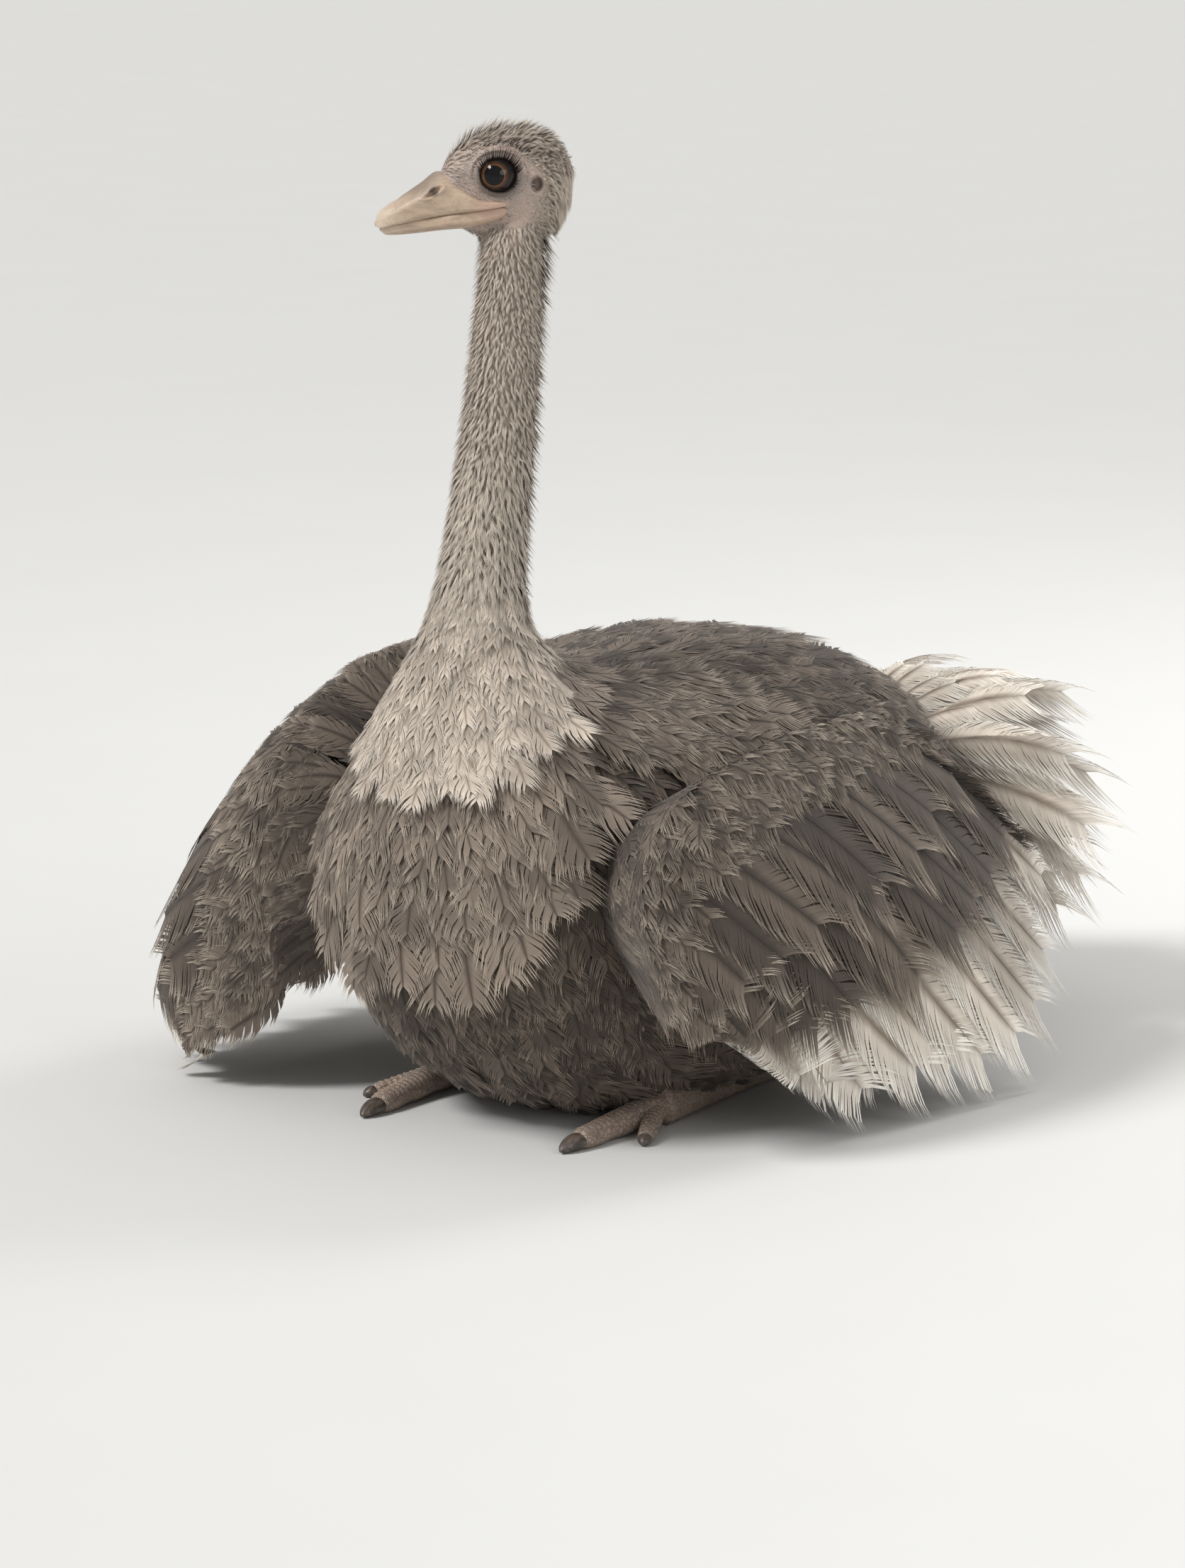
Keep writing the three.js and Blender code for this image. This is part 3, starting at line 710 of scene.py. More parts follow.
def head_flesh():
    """Neck and head, grown together, with finer faces round the eyes and ears."""
    at = np.linspace(0.0, 0.42, 70)[:, None]
    neck = body(at, around(72)[None], -coat_depth(at))
    x = np.linspace(CRANIUM[0][0], CRANIUM[-1][0], 56)[:, None]
    skull = scalp(x, around(72)[None], -head_coat(x))
    flesh = remeshed(gather([tube(neck), tube(skull)]), HEAD_VOXEL)
    _, _, z = places_on_head(flesh)
    soften(flesh, [v for v, high in zip(flesh.verts, z) if high > -150], 6)
    x, y, z = places_on_head(flesh)
    eye, ear = from_openings(x, z)
    close = (y > 14) & ((eye < 2.1) | (ear < 2))
    fine = [edge for edge in flesh.edges if all(close[v.index] for v in edge.verts)]
    bmesh.ops.subdivide_edges(flesh, edges=fine, cuts=1, use_grid_fill=True)
    move(flesh, sculpt_head)
    x, y, z = places_on_head(flesh)
    eye, _ = from_openings(x, z)
    lids = [v for v, e, out in zip(flesh.verts, eye, y) if out > 14 and 0.9 < e < 2.3]
    soften(flesh, lids, 2, 0.35)
    return flesh


def scutes(along, turn, pitch, rise, spread):
    """Plates across the top of a leg or toe: each rises to its far edge, over the next."""
    top = smooth(np.sin(turn), math.cos(spread), math.cos(spread * 0.6))
    step = (along / pitch) % 1
    return rise * (step**0.8 - 1.2 * smooth(step, 0.9, 1.0)) * top


def toe_end(foot, side, toe_turn, reach, tip):
    """The way a toe points, and where its flesh ends."""
    heading = math.radians(toe_turn) * side
    ahead = np.array((math.sin(heading), -math.cos(heading), 0))
    end = foot + reach * ahead
    end[2] = tip * 0.62
    return ahead, end


def knobs(along, turn, height, pitch, sway, lobes, columns, low, high):
    """Small knobby scales on the sides and under a leg or toe."""
    rows = np.sin(along / pitch + sway * np.sin(turn * lobes))
    return height * rows * np.sin(turn * columns) * smooth(-np.sin(turn), low, high)


def leg_flesh(side):
    """The scaled shank with its ankle, and the two toes, as separate closed shells."""
    flip = np.array((side, 1, 1))
    ankle, foot = np.array(LEG["ankle"], float) * flip, np.array(LEG["foot"], float) * flip
    shells = []
    size = through([(0, 14), (0.05, 35.3), (0.1, 41), (0.24, 29), (0.6, 26), (0.88, 29), (1, 31)])
    rows, segments = 170, 40
    start = ankle + (0, 34, 0)
    length = np.linalg.norm(foot - start)
    along = np.linspace(0, length, rows)[:, None]
    turn = around(segments)[None]
    small = knobs(along, turn, 0.5, 2.6, 2, 3, 11, -0.7, 0.2)
    folds = 0.9 * np.sin(along / 2.2) * smooth(along, 12, 30) * smooth(-along, -90, -60)
    plates = scutes(along, turn, 14.5, 2.0, 1.05) * smooth(along, 86, 110)
    rings = swept(straight(start, foot), lambda t: (size(t), size(t)), rows, segments)
    shells.append(tube(grounded(raised(rings, plates + small + folds - 1.2))))
    heel = 6  # how far a toe reaches back into the foot
    for toe_turn, reach, radius, tip, _ in TOES.values():
        ahead, end = toe_end(foot, side, toe_turn, reach, tip)
        size = through([
            (0, radius), (0.35, radius * 0.88), (0.8, tip * 1.06), (0.93, tip), (1, tip * 0.6),
        ])
        rows, segments = 100, 32
        along = np.linspace(0, reach + heel, rows)[:, None]
        turn = around(segments)[None]
        pads = 1.6 * np.sin(along / reach * 3 * np.pi) ** 2 * smooth(-np.sin(turn), -0.3, 0.5)
        small = knobs(along, turn, 0.4, 2.1, 1.5, 2, 9, -0.6, 0)
        plates = scutes(along, turn, 9.5, 1.7, 1.15) * smooth(-along, -reach - 4, -reach + 8)
        path = straight(foot - heel * ahead, end)
        rings = swept(path, lambda t: (size(t), size(t) * 0.9), rows, segments)
        shells.append(tube(grounded(raised(rings, plates + pads + small - 1.5))))
    return shells


def nail_shells(side):
    """The curved nails of one foot's two toes."""
    shells = []
    foot = np.array(LEG["foot"], float) * np.array((side, 1, 1))
    for toe_turn, reach, _, tip, nail in TOES.values():
        ahead, end = toe_end(foot, side, toe_turn, reach, tip)
        start, point = end - nail * 0.3 * ahead, end + nail * 0.72 * ahead
        point[2] = tip * 0.26
        size = through([(0, 0.7), (0.2, 0.82), (0.5, 0.74), (0.8, 0.5), (0.95, 0.24), (1, 0.1)])
        bend = (start + point) / 2 + (0, 0, tip * 0.3)
        path = arched(start, bend, point)
        rings = swept(path, lambda t: (tip * size(t), tip * size(t) * 0.82), 22, 28)
        shells.append(tube(grounded(rings)))
    return shells


# ---- bill, eyes and lashes ---------------------------------------------------------------------

NOSTRIL = (74, 17)  # x, and degrees above the bill's side
NAIL_EDGE = 116  # where the horny nail of the upper bill starts


def nostril(side):
    """The middle of a nostril, in the solids' frame."""
    point = upper_bill(NOSTRIL[0], math.radians(90 - side * (90 - NOSTRIL[1])))
    return from_head(point)


def upper_relief(x, turn):
    """Culmen ridge, nostrils and the nail at the tip, in mm over the plain upper bill."""
    high = np.degrees(np.arctan2(np.sin(turn), np.abs(np.cos(turn))))
    relief = 1.8 * np.exp(-(((high - 90) / 16) ** 2)) * smooth(x, 56, 70) * smooth(-x, -118, -104)
    relief -= 1.2 * np.exp(-(((high - 56) / 15) ** 2)) * smooth(x, 52, 62) * smooth(-x, -108, -92)
    pit = np.hypot((x - NOSTRIL[0] + 0.12 * (high - NOSTRIL[1])) / 9.5, (high - NOSTRIL[1]) / 9)
    relief -= 5.0 * smooth(-pit, -1.1, -0.5)
    relief += 1.3 * np.exp(-(((pit - 1.4) / 0.3) ** 2))
    relief += 1.0 * smooth(x, NAIL_EDGE, NAIL_EDGE + 1.5) * smooth(high, 20, 40)
    return relief


def bill_shell(section, stations, relief=None):
    """Half of the bill, rounded off at its tip."""
    x = np.linspace(stations[0][0], stations[-1][0], 140)
    x = np.concatenate([x, x[-1] + np.array([0.8, 1.4]) * 0.5])[:, None]
    turn = around(124)[None]
    shrink = smooth(-x, -stations[-1][0] - 0.8, -stations[-1][0] + 4) * 0.5 + 0.5
    points = section(x, turn, -0.15)
    middle = points.mean(1, keepdims=True)
    points = middle + (points - middle) * np.broadcast_to(shrink, points.shape[:2])[..., None]
    if relief:
        over = relief(x, turn) * smooth(np.sin(turn), -0.02, 0.1)
        points = points + unit(points - middle) * over[..., None]
    return tube(from_head(points))


def make_eye(side):
    """An eyeball with its bulging cornea, and the point in front of its pupil."""
    shell = bmesh.new()
    radius = EYE["radius"] * HEAD_SCALE * MM
    centre = Vector(from_head((0, side * EYE["out"], 0)))
    gaze = Vector(from_head((3.4, side * (EYE["out"] + 12), 0.6))) - centre
    bmesh.ops.create_uvsphere(shell, u_segments=72, v_segments=48, radius=radius)
    for vert in shell.verts:
        slope = math.acos(max(-1, min(1, vert.co.z / radius)))
        vert.co *= 1 + 0.045 * max(0, 1 - (slope / math.radians(38)) ** 2) ** 2
    turn = gaze.to_track_quat("Z", "Y").to_matrix().to_4x4()
    bmesh.ops.transform(shell, matrix=Matrix.Translation(centre) @ turn, verts=shell.verts[:])
    front = centre + gaze.normalized() * radius
    return finished(shell), front


def spikes(paths, widths, segments=3):
    """Thin tapering hairs as one array mesh. paths: [hair, station, xyz]; widths: [station]."""
    forward = unit(np.gradient(paths, axis=1))
    side = unit(np.cross(forward, (0.12, 0.3, 0.95)))
    over = np.cross(side, forward)
    turn = around(segments)[None, None, :, None]
    rings = paths[:, :, None] + np.asarray(widths)[None, :, None, None] * (
        side[:, :, None] * np.cos(turn) + over[:, :, None] * np.sin(turn)
    )
    hairs, stations = paths.shape[:2]
    faces = []
    for i in range(stations - 1):
        for j in range(segments):
            k = (j + 1) % segments
            low, high = i * segments, (i + 1) * segments
            faces.append((low + j, low + k, high + k, high + j))
    faces.append(tuple(range(segments))[::-1])
    faces.append(tuple(range((stations - 1) * segments, stations * segments)))
    return rings.reshape(hairs, -1, 3), faces


def array_mesh(name, points, faces, maps=None):
    """One mesh from many copies of a small shape. points: [copy, vertex, xyz]; maps: name to
    [copy, vertex, 2]."""
    copies, each = points.shape[:2]
    flat = np.concatenate([np.array(face) for face in faces])
    sizes = np.array([len(face) for face in faces])
    loops = (flat[None] + np.arange(copies)[:, None] * each).ravel()
    totals = np.tile(sizes, copies)
    mesh = bpy.data.meshes.new(name)
    mesh.vertices.add(copies * each)
    mesh.vertices.foreach_set("co", points.ravel().astype(np.float32))
    mesh.loops.add(len(loops))
    mesh.loops.foreach_set("vertex_index", loops.astype(np.int32))
    mesh.polygons.add(len(totals))
    mesh.polygons.foreach_set("loop_start", (np.cumsum(totals) - totals).astype(np.int32))
    mesh.polygons.foreach_set("loop_total", totals.astype(np.int32))
    for key, values in (maps or {}).items():
        layer = mesh.uv_layers.new(name=key)
        layer.data.foreach_set("uv", values.reshape(-1, 2)[loops].ravel().astype(np.float32))
    mesh.polygons.foreach_set("use_smooth", np.ones(len(totals), bool))
    mesh.update(calc_edges=True)
    return mesh


# Lashes of the upper and the lower lid: angles from and to, how many, how long. Brow: its rings of
# hairs in shares of the lid's rim, angles from and to, and hairs in each. Widths are along a hair.
LASHES = [(8, 172, 40, 19), (200, 335, 22, 8)]
LASH_ROOT = 40.2  # out from the head's middle
BROW = {"rings": (1.84, 1.94, 2.04), "from": 38, "to": 148, "hairs": 24}
LASH_WIDTHS = np.array((0.72, 0.66, 0.55, 0.42, 0.26, 0.08)) * MM
BROW_WIDTHS = np.array((0.64, 0.6, 0.5, 0.38, 0.22, 0.06)) * MM


def lash_paths(side):
    """Long lashes on the upper lid and a few short ones on the lower."""
    paths = []
    for low, high, count, length in LASHES:
        for angle in np.linspace(low, high, count):
            phi = math.radians(angle + rng.uniform(-2, 2))
            c, s = math.cos(phi), math.sin(phi)
            rx, rz = LID_RIM[0] * c * 1.03, LID_RIM[1] * s * 1.03
            x = rx * math.cos(EYE_LEAN) - rz * math.sin(EYE_LEAN)
            z = rz * math.cos(EYE_LEAN) + rx * math.sin(EYE_LEAN)
            reach = length * rng.uniform(0.8, 1.05) * (0.6 + 0.4 * abs(s))
            root = np.array((x, side * LASH_ROOT, z))
            out = unit(np.array((0.5 * c - 0.15, side * 0.85, 0.25 + 0.35 * s)))
            lift = np.array((0.25 * c, 0, 0.9 if length > 10 else -0.5))
            t = np.linspace(0, 1, 6)[:, None]
            paths.append(root + out * reach * t + lift * reach * 0.36 * t**2)
    return from_head(np.array(paths))


def brow_paths(side):
    """An arc of short hairs on the brow."""
    inward = unit(from_head((0, -side, 0)) - from_head((0, 0, 0)))
    paths = []
    for ring in BROW["rings"]:
        for angle in np.linspace(BROW["from"], BROW["to"], BROW["hairs"]):
            phi = math.radians(angle + rng.uniform(-3, 3))
            c, s = math.cos(phi), math.sin(phi)
            beside = from_head((LID_RIM[0] * c * ring, side * 60, LID_RIM[1] * s * ring))
            root = to_head(np.array([face_tree.ray_cast(beside, inward)[0]]))[0]
            lie = unit(np.array((-0.75 - 0.2 * c, side * 0.22, 0.45 + 0.2 * s)))
            t = np.linspace(0, 1, 6)[:, None]
            sag = np.array((0, side * 1.2, 1.2)) * t**2
            paths.append(root + lie * rng.uniform(5.5, 8.5) * t - sag)
    return from_head(np.array(paths))


# ---- plumage -----------------------------------------------------------------------------------


QUILL_START, QUILL_END = 0.03, 0.97  # the part of a shaft that carries barbs
LOCK = 4  # barbs whose tips draw together
RIBS = 5  # stations along a shaft


def template(s, y, h, q, b, faces):
    """A small shape that is laid many times. s runs along it from 0 to 1, y across it from -1 to 1
    and h is the height over it in mm. q is how far along its barb a point is, or 0 on the shaft,
    and b is a tint of its own for each barb."""
    form = {key: np.array(value) for key, value in zip("syhqb", (s, y, h, q, b))}
    return {**form, "faces": faces}


def barbs_of(barbs, stations, lean, leaf, seed, curl, ragged, shaft=0.022):
    """A loose feather lying flat, as a template. Its barbs lean to its tip and their lengths follow
    leaf. The tips of each few barbs draw together into a lock."""
    chance = np.random.default_rng(seed)
    s, y, h, q, b, faces = [], [], [], [], [], []
    gap = (QUILL_END - QUILL_START) / barbs
    for side in (-1, 1):
        for i in range(barbs):
            root = QUILL_START + gap * (i + chance.uniform(0.3, 0.7))
            drawn = 0.55 * gap * (LOCK / 2 - 0.5 - i % LOCK)
            if i % LOCK == 0:
                together = chance.uniform(-ragged, ragged)
            reach = leaf(root) * (1 + 0.7 * together + 0.4 * chance.uniform(-ragged, ragged))
            ahead = lean * (1 + 0.9 * root) * reach * chance.uniform(0.92, 1.08)
            lift = chance.uniform(-0.5, 0.5)
            tint = chance.uniform()
            first = len(s)
            for k, t in enumerate(stations):
                last = k == len(stations) - 1
                place = root + drawn * t * t + ahead * (0.7 * t + 0.55 * t * t)
                width = gap * 0.6 * (1 - t) ** 0.4 + gap * 0.1
                for edge in (0,) if last else (-1, 1):
                    s.append(place + edge * width)
                    y.append(side * reach * t * (1 - 0.16 * t * t))
                    h.append(lift * t + curl * t * t * chance.uniform(0.4, 1.3))
                    q.append(t)
                    b.append(tint)
            for k in range(len(stations) - 1):
                a = first + 2 * k
                quad = (a, a + 1, a + 3, a + 2) if k < len(stations) - 2 else (a, a + 1, a + 2)
                faces.append(quad if side > 0 else quad[::-1])
    first = len(s)
    for k in range(RIBS):
        t = k / (RIBS - 1)
        for edge in (-1, 1):
            s.append(QUILL_END * t)
            y.append(edge * shaft * (1 - 0.7 * t))
            h.append(0.9)
            q.append(0)
            b.append(0.5)
        if k:
            a = first + 2 * k
            faces.append((a - 2, a, a + 1, a - 1))
    return template(np.array(s) / max(s), y, h, q, b, faces)


def down_of(blades, fan, seed):
    """A tuft of thin down as a template."""
    chance = np.random.default_rng(seed)
    s, y, h, q, b, faces = [], [], [], [], [], []
    for i in range(blades):
        turn = fan * (2 * (i + 0.5) / blades - 1) + chance.uniform(-0.12, 0.12)
        length, lift, tint = chance.uniform(0.7, 1.08), chance.uniform(-0.2, 1.0), chance.uniform()
        first = len(s)
        for t, width in ((0, 0.10), (0.5, 0.085), (1, 0)):
            for edge in (-1, 1) if width else (0,):
                s.append(length * t * math.cos(turn * t))
                apart = 0.5 * (i / (blades - 1) - 0.5)
                y.append(0.9 * math.sin(turn) * t * t + apart + edge * width)
                h.append(lift * t * t)
                q.append(t)
                b.append(tint)
        faces.append((first, first + 1, first + 3, first + 2))
        faces.append((first + 2, first + 3, first + 4))
    return template(s, y, h, q, b, faces)


def slopes(surface, u, v):
    """How a surface's points move with u and with v."""
    e = 1e-3
    return (
        (surface(u + e, v) - surface(u - e, v)) / (2 * e),
        (surface(u, v + e) - surface(u, v - e)) / (2 * e),
    )


def solve(pu, pv, want):
    """The steps in u and v that run along the part of a direction that lies in the surface."""
    a, b, c = (pu * pu).sum(-1), (pu * pv).sum(-1), (pv * pv).sum(-1)
    d, e = (pu * want).sum(-1), (pv * want).sum(-1)
    det = np.maximum(a * c - b * b, 1e-12)
    du, dv = (c * d - b * e) / det, (a * e - b * d) / det
    size = np.linalg.norm(du[..., None] * pu + dv[..., None] * pv, axis=-1)
    return du / np.maximum(size, 1e-9), dv / np.maximum(size, 1e-9)


TRIALS = 30000  # places tried for the roots of one layer


def scatter(surface, us, vs, spacing, keep=None):
    """Roots spread evenly over a part of a surface, at least the spacing in mm apart."""
    u, v = rng.uniform(*us, TRIALS), rng.uniform(*vs, TRIALS)
    pu, pv = slopes(surface, u, v)
    area = np.linalg.norm(np.cross(pu, pv), axis=-1)
    chosen = rng.random(TRIALS) < area / area.max()
    if keep is not None:
        chosen &= keep(u, v)
    u, v = u[chosen], v[chosen]
    places = surface(u, v)
    tree = KDTree(len(u))
    for i, place in enumerate(places):
        tree.insert(place, i)
    tree.balance()
    state = np.zeros(len(u), int)
    for i, place in enumerate(places):
        if state[i] == 0:
            state[i] = 1
            for _, j, _ in tree.find_range(place, spacing * MM):
                if state[j] == 0:
                    state[j] = 2
    taken = state == 1
    return u[taken], v[taken]


STEPS = 6  # steps in which a feather's shaft follows the surface
PATCH = 0.0028  # side of each feather's patch of the coat map
MARGIN = 0.01  # of the coat map, round all patches


def feather_maps(u, v, form, count):
    """Each feather's root's place on the unwrapped surface, its small patch of the coat map round
    that place, and what its finish reads."""
    s, y, blank = form["s"][None], form["y"][None], np.zeros((count, len(form["s"])))
    return {
        "root": np.stack([u, v], -1)[:, None],
        "OFBake": np.stack([(s - 0.5) * PATCH + blank, y * PATCH / 2 + blank], -1),
        "vane": np.stack([s + blank, form["q"][None] + blank], -1),
        "tint": np.stack([rng.random(count)[:, None] + blank, form["b"][None] + blank], -1),
    }


def chance_of(feathers):
    """The same number from 0 to 1 each time for the same feather."""
    return (np.sin(feathers * 12.9898 + 4.1) * 43758.5453) % 1


def lay(surface, roots, length, width, flow, height, templates, wobble, bend, box):
    """Feathers laid along a surface from their roots. flow gives the direction they run in and
    height the height over the surface in mm at (u, v, s, y, feather). wobble and bend are the
    spread in degrees of their turns and curves. box is the part of (u, v) that is unwrapped to a
    square. Returns the points, faces and maps of each template's feathers. A feather that runs off
    where the surface ends is left out."""
    u, v = roots
    count = len(u)
    length = np.broadcast_to(np.asarray(length, float), count) * MM
    width = np.broadcast_to(np.asarray(width, float), count) * MM / 2
    turn = rng.normal(0, math.radians(wobble), count)
    bending = rng.normal(0, math.radians(bend), count) / STEPS
    lines = []
    at_u, at_v = u.copy(), v.copy()
    for k in range(STEPS + 1):
        pu, pv = slopes(surface, at_u, at_v)
        du, dv = solve(pu, pv, flow(surface(at_u, at_v), pu, pv, at_u, at_v))
        side = np.cross(unit(np.cross(pu, pv)), du[:, None] * pu + dv[:, None] * pv)
        cu, cv = solve(pu, pv, side)
        c, s = np.cos(turn + bending * k), np.sin(turn + bending * k)
        lines.append((at_u, at_v, c * cu - s * du, c * cv - s * dv))
        at_u = at_u + (c * du + s * cu) * length / STEPS
        at_v = at_v + (c * dv + s * cv) * length / STEPS
    lines = np.array(lines)
    pick = rng.integers(0, len(templates), count)
    made = []
    for kind, form in enumerate(templates):
        mine = np.flatnonzero(pick == kind)
        if not len(mine):
            continue
        s, y = form["s"][None], form["y"][None]
        i = np.clip(form["s"] * STEPS, 0, STEPS - 1e-6).astype(int)
        f = form["s"] * STEPS - i
        line = lines[:, :, mine]
        here = np.moveaxis(line[i] * (1 - f)[:, None, None] + line[i + 1] * f[:, None, None], 0, 2)
        across = y * width[mine][:, None]
        pu, pv = here[0] + across * here[2], here[1] + across * here[3]
        points = surface(pu, pv, height(pu, pv, s, y, mine) + form["h"][None])
        square_u = (u[mine] - box[0]) / (box[1] - box[0])
        square_v = (v[mine] - box[2]) / (box[3] - box[2])
        maps = feather_maps(square_u, square_v, form, len(mine))
        spread = np.linalg.norm(points - points[:, :1], axis=-1).max(1)
        sound = spread < 1.3 * length[mine] + 1.5 * width[mine] + 12 * MM
        maps = {key: value[sound] for key, value in maps.items()}
        made.append((points[sound], form["faces"], maps))
    return made


def coat_piece(name, batches, finish, hides=()):
    """One piece from the feathers of several layers. Their roots' places fill its coat map."""
    shell = bmesh.new()
    roots = np.concatenate([maps["root"][:, 0] for _, _, maps in batches])
    low, high = roots.min(0), roots.max(0)
    for points, faces, maps in batches:
        centre = MARGIN + (1 - 2 * MARGIN) * (maps.pop("root") - low) / (high - low)
        mesh = array_mesh("layer", points, faces, {**maps, "OFBake": centre + maps["OFBake"]})
        shell.from_mesh(mesh)
        bpy.data.meshes.remove(mesh)
    mesh = bpy.data.meshes.new(name)
    shell.to_mesh(mesh)
    shell.free()
    new_piece(name, mesh, [finish], hides)


# How long the barbs are along a feather, and the templates.
leaf_shape = through([(0, 0.35), (0.15, 0.7), (0.45, 1), (0.75, 0.9), (0.93, 0.55), (1, 0.35)])
point_shape = through([(0, 0.35), (0.2, 0.8), (0.45, 1), (0.7, 0.8), (0.9, 0.4), (1, 0.15)])
plume_shape = through([(0, 0.45), (0.2, 0.8), (0.5, 1), (0.8, 0.96), (0.93, 0.78), (1, 0.5)])
SMALL = [barbs_of(20, (0, 0.62, 1), 0.22, leaf_shape, k, 0.8, 0.2) for k in range(3)]
POINTED = [barbs_of(26, (0, 0.62, 1), 0.24, point_shape, 6 + k, 1.0, 0.12) for k in range(3)]
MEDIUM = [barbs_of(27, (0, 0.62, 1), 0.2, leaf_shape, 10 + k, 1.6, 0.22) for k in range(4)]
LARGE = [barbs_of(52, (0, 0.4, 0.8, 1), 0.16, plume_shape, 15 + k, 2.5, 0.12) for k in range(4)]
PLUMES = [
    barbs_of(86, (0, 0.35, 0.74, 1), 0.13, plume_shape, 20 + k, 3.0, 0.14, 0.03) for k in range(5)
]
DOWN = [down_of(7, 0.5, 40 + k) for k in range(5)]
DOWNWARDS = np.array((0, 0, -1.0))


def along_body(weight):
    """Feathers on the body run to the rump and hang a little."""

    def flow(place, pu, pv, u, v):
        return unit(pu) + DOWNWARDS * weight

    return flow


def throatward(angle):
    """1 on the throat's side, 0 on the nape's."""
    return (1 + np.cos(angle - THROAT)) / 2


def ruff_end(angle):
    """Where the ruff's edge lies along the body: furthest down the throat."""
    reach = (RUFF["front"] - RUFF["back"]) * throatward(angle) ** 2
    return RUFF["back"] + reach + TIP_DEPTH * 0.5


def bib_reach(angle):
    """0 beyond the bib's sides, most down its middle."""
    return np.maximum(np.cos(angle - THROAT) - math.cos(math.radians(BIB["spread"])), 0)


def bib_end(angle):
    """Where the bib's edge lies along the body."""
    return BIB["back"] + (BIB["front"] - BIB["back"]) * bib_reach(angle) ** 0.8 + TIP_DEPTH * 0.5


def body_height(depth, top, ragged, camber=3.0, lift=0.0):
    """Height over the body in a layer: a feather rises from its sunken root to the layer's top."""

    def height(u, v, s, y, mine):
        rise = np.clip(s, 0, 1)
        stray = ragged * (chance_of(mine)[:, None] - 0.45) + lift
        return -depth * (1 - rise) ** 1.4 + top(u, v) - camber * y**2 + stray * rise**2

    return height


BODY_MAP = (0, 1.05, *TURN)


def ruff_top(u, v):
    share = (u - NECK_END) / (ruff_end(v) - NECK_END)
    return RUFF["rise"] * smooth(share, -0.1, 0.7) - 1


def bib_top(u, v):
    rise = BIB["rise"] * np.minimum(1, 3 * bib_reach(v))
    return rise * smooth((u - ruff_end(v)) / (bib_end(v) - ruff_end(v)), -0.2, 0.7) - 1


def back_top(u, v):
    return np.full_like(u, -1.0)


def fringe_row(count, angles, end, back, length, width, top, lift, only=None):
    """A row of pointed feathers whose tips make the edge of the ruff, bib or shoulder group."""
    stray = rng.uniform(-0.2, 0.2, count) * (angles[1] - angles[0]) / count
    v = np.linspace(*angles, count, endpoint=False) + stray
    u = end(v) - back + rng.uniform(-0.008, 0.008, count)
    size = length * rng.uniform(0.8, 1.15, count)
    if only is not None:
        kept = only(u, v)
        u, v, size = u[kept], v[kept], size[kept]
    height = body_height(16, top, 4, 5, lift)
    return lay(body, (u, v), size, width, along_body(0.2), height, POINTED, 4, 6, BODY_MAP)


def pale(u, v):
    """Where the ruff is pale: down the throat, and only to the neck's foot behind."""
    return u < 0.385 + 0.12 * smooth(throatward(v), 0.22, 0.66)


def dark(u, v):
    return ~pale(u, v)


def ruff_feathers(part):
    """The ruff's feathers in one of its two colours."""
    def inside(u, v):
        return (u < ruff_end(v) - 0.06) & part(u, v)

    roots = scatter(body, (NECK_END - 0.03, 0.52), TURN, 9.5, inside)
    size = 52 + 36 * smooth(roots[0], 0.34, 0.44)
    height = body_height(12, ruff_top, 7)
    loose = lay(body, roots, size, size * 0.42, along_body(0.25), height, SMALL, 7, 10, BODY_MAP)
    edge = fringe_row(22, TURN, ruff_end, 0.054, 94, 54, ruff_top, 13, part)
    return loose + edge + fringe_row(23, TURN, ruff_end, 0.078, 88, 48, ruff_top, 6, part)


def bib_feathers():
    """The darker bib under the ruff, to its pointed edge."""
    def inside(u, v):
        return (bib_reach(v) > 0.03) & (u > ruff_end(v) - 0.07) & (u < bib_end(v) - 0.08)

    roots = scatter(body, (0.38, 0.7), TURN, 12.5, inside)
    size = 104 + rng.uniform(-12, 16, len(roots[0]))
    height = body_height(24, bib_top, 10, 4)
    loose = lay(body, roots, size, size * 0.44, along_body(0.25), height, SMALL, 8, 12, BODY_MAP)
    reach = math.radians(BIB["spread"] - 4)
    sides = (THROAT - reach, THROAT + reach)
    edge = fringe_row(18, sides, bib_end, 0.074, 142, 88, bib_top, 18)
    return loose + edge + fringe_row(19, sides, bib_end, 0.1, 128, 76, bib_top, 8)


BODY_LAYERS = {  # from and to along the body, spacing, length, how ragged
    "breast": (0.37, 0.71, 18, 136, 18), "back": (0.71, 0.97, 20.5, 158, 25),
}
HALVES = {"left": (-0.5 * np.pi, 0.5 * np.pi), "right": (0.5 * np.pi, 1.5 * np.pi)}


def body_feathers(low, high, spacing, size, ragged, turn):
    """The shingled feathers of breast, flanks and back between two places along the body."""
    def inside(u, v):
        return u > np.where(bib_reach(v) > 0.03, bib_end(v) - 0.125, ruff_end(v) - 0.1)

    roots = scatter(body, (low, high), turn, spacing, inside)
    long = size * rng.uniform(0.85, 1.15, len(roots[0]))
    height = body_height(30, back_top, ragged, 8)
    return lay(body, roots, long, long * 0.48, along_body(0.4), height, MEDIUM, 7, 12, BODY_MAP)


SCAPULAR_SIDES = {"left": (0.22, 1.0), "right": (np.pi - 1.0, np.pi - 0.22)}


def scapular_end(angle):
    """Where the shoulder's feathers end on the back: the lower they sit, the further down it."""
    return 0.59 + 0.24 * (np.abs(angle - NAPE) - 0.56)


def scapular_top(u, v):
    return 1 + 11 * smooth(u, 0.46, 0.56)


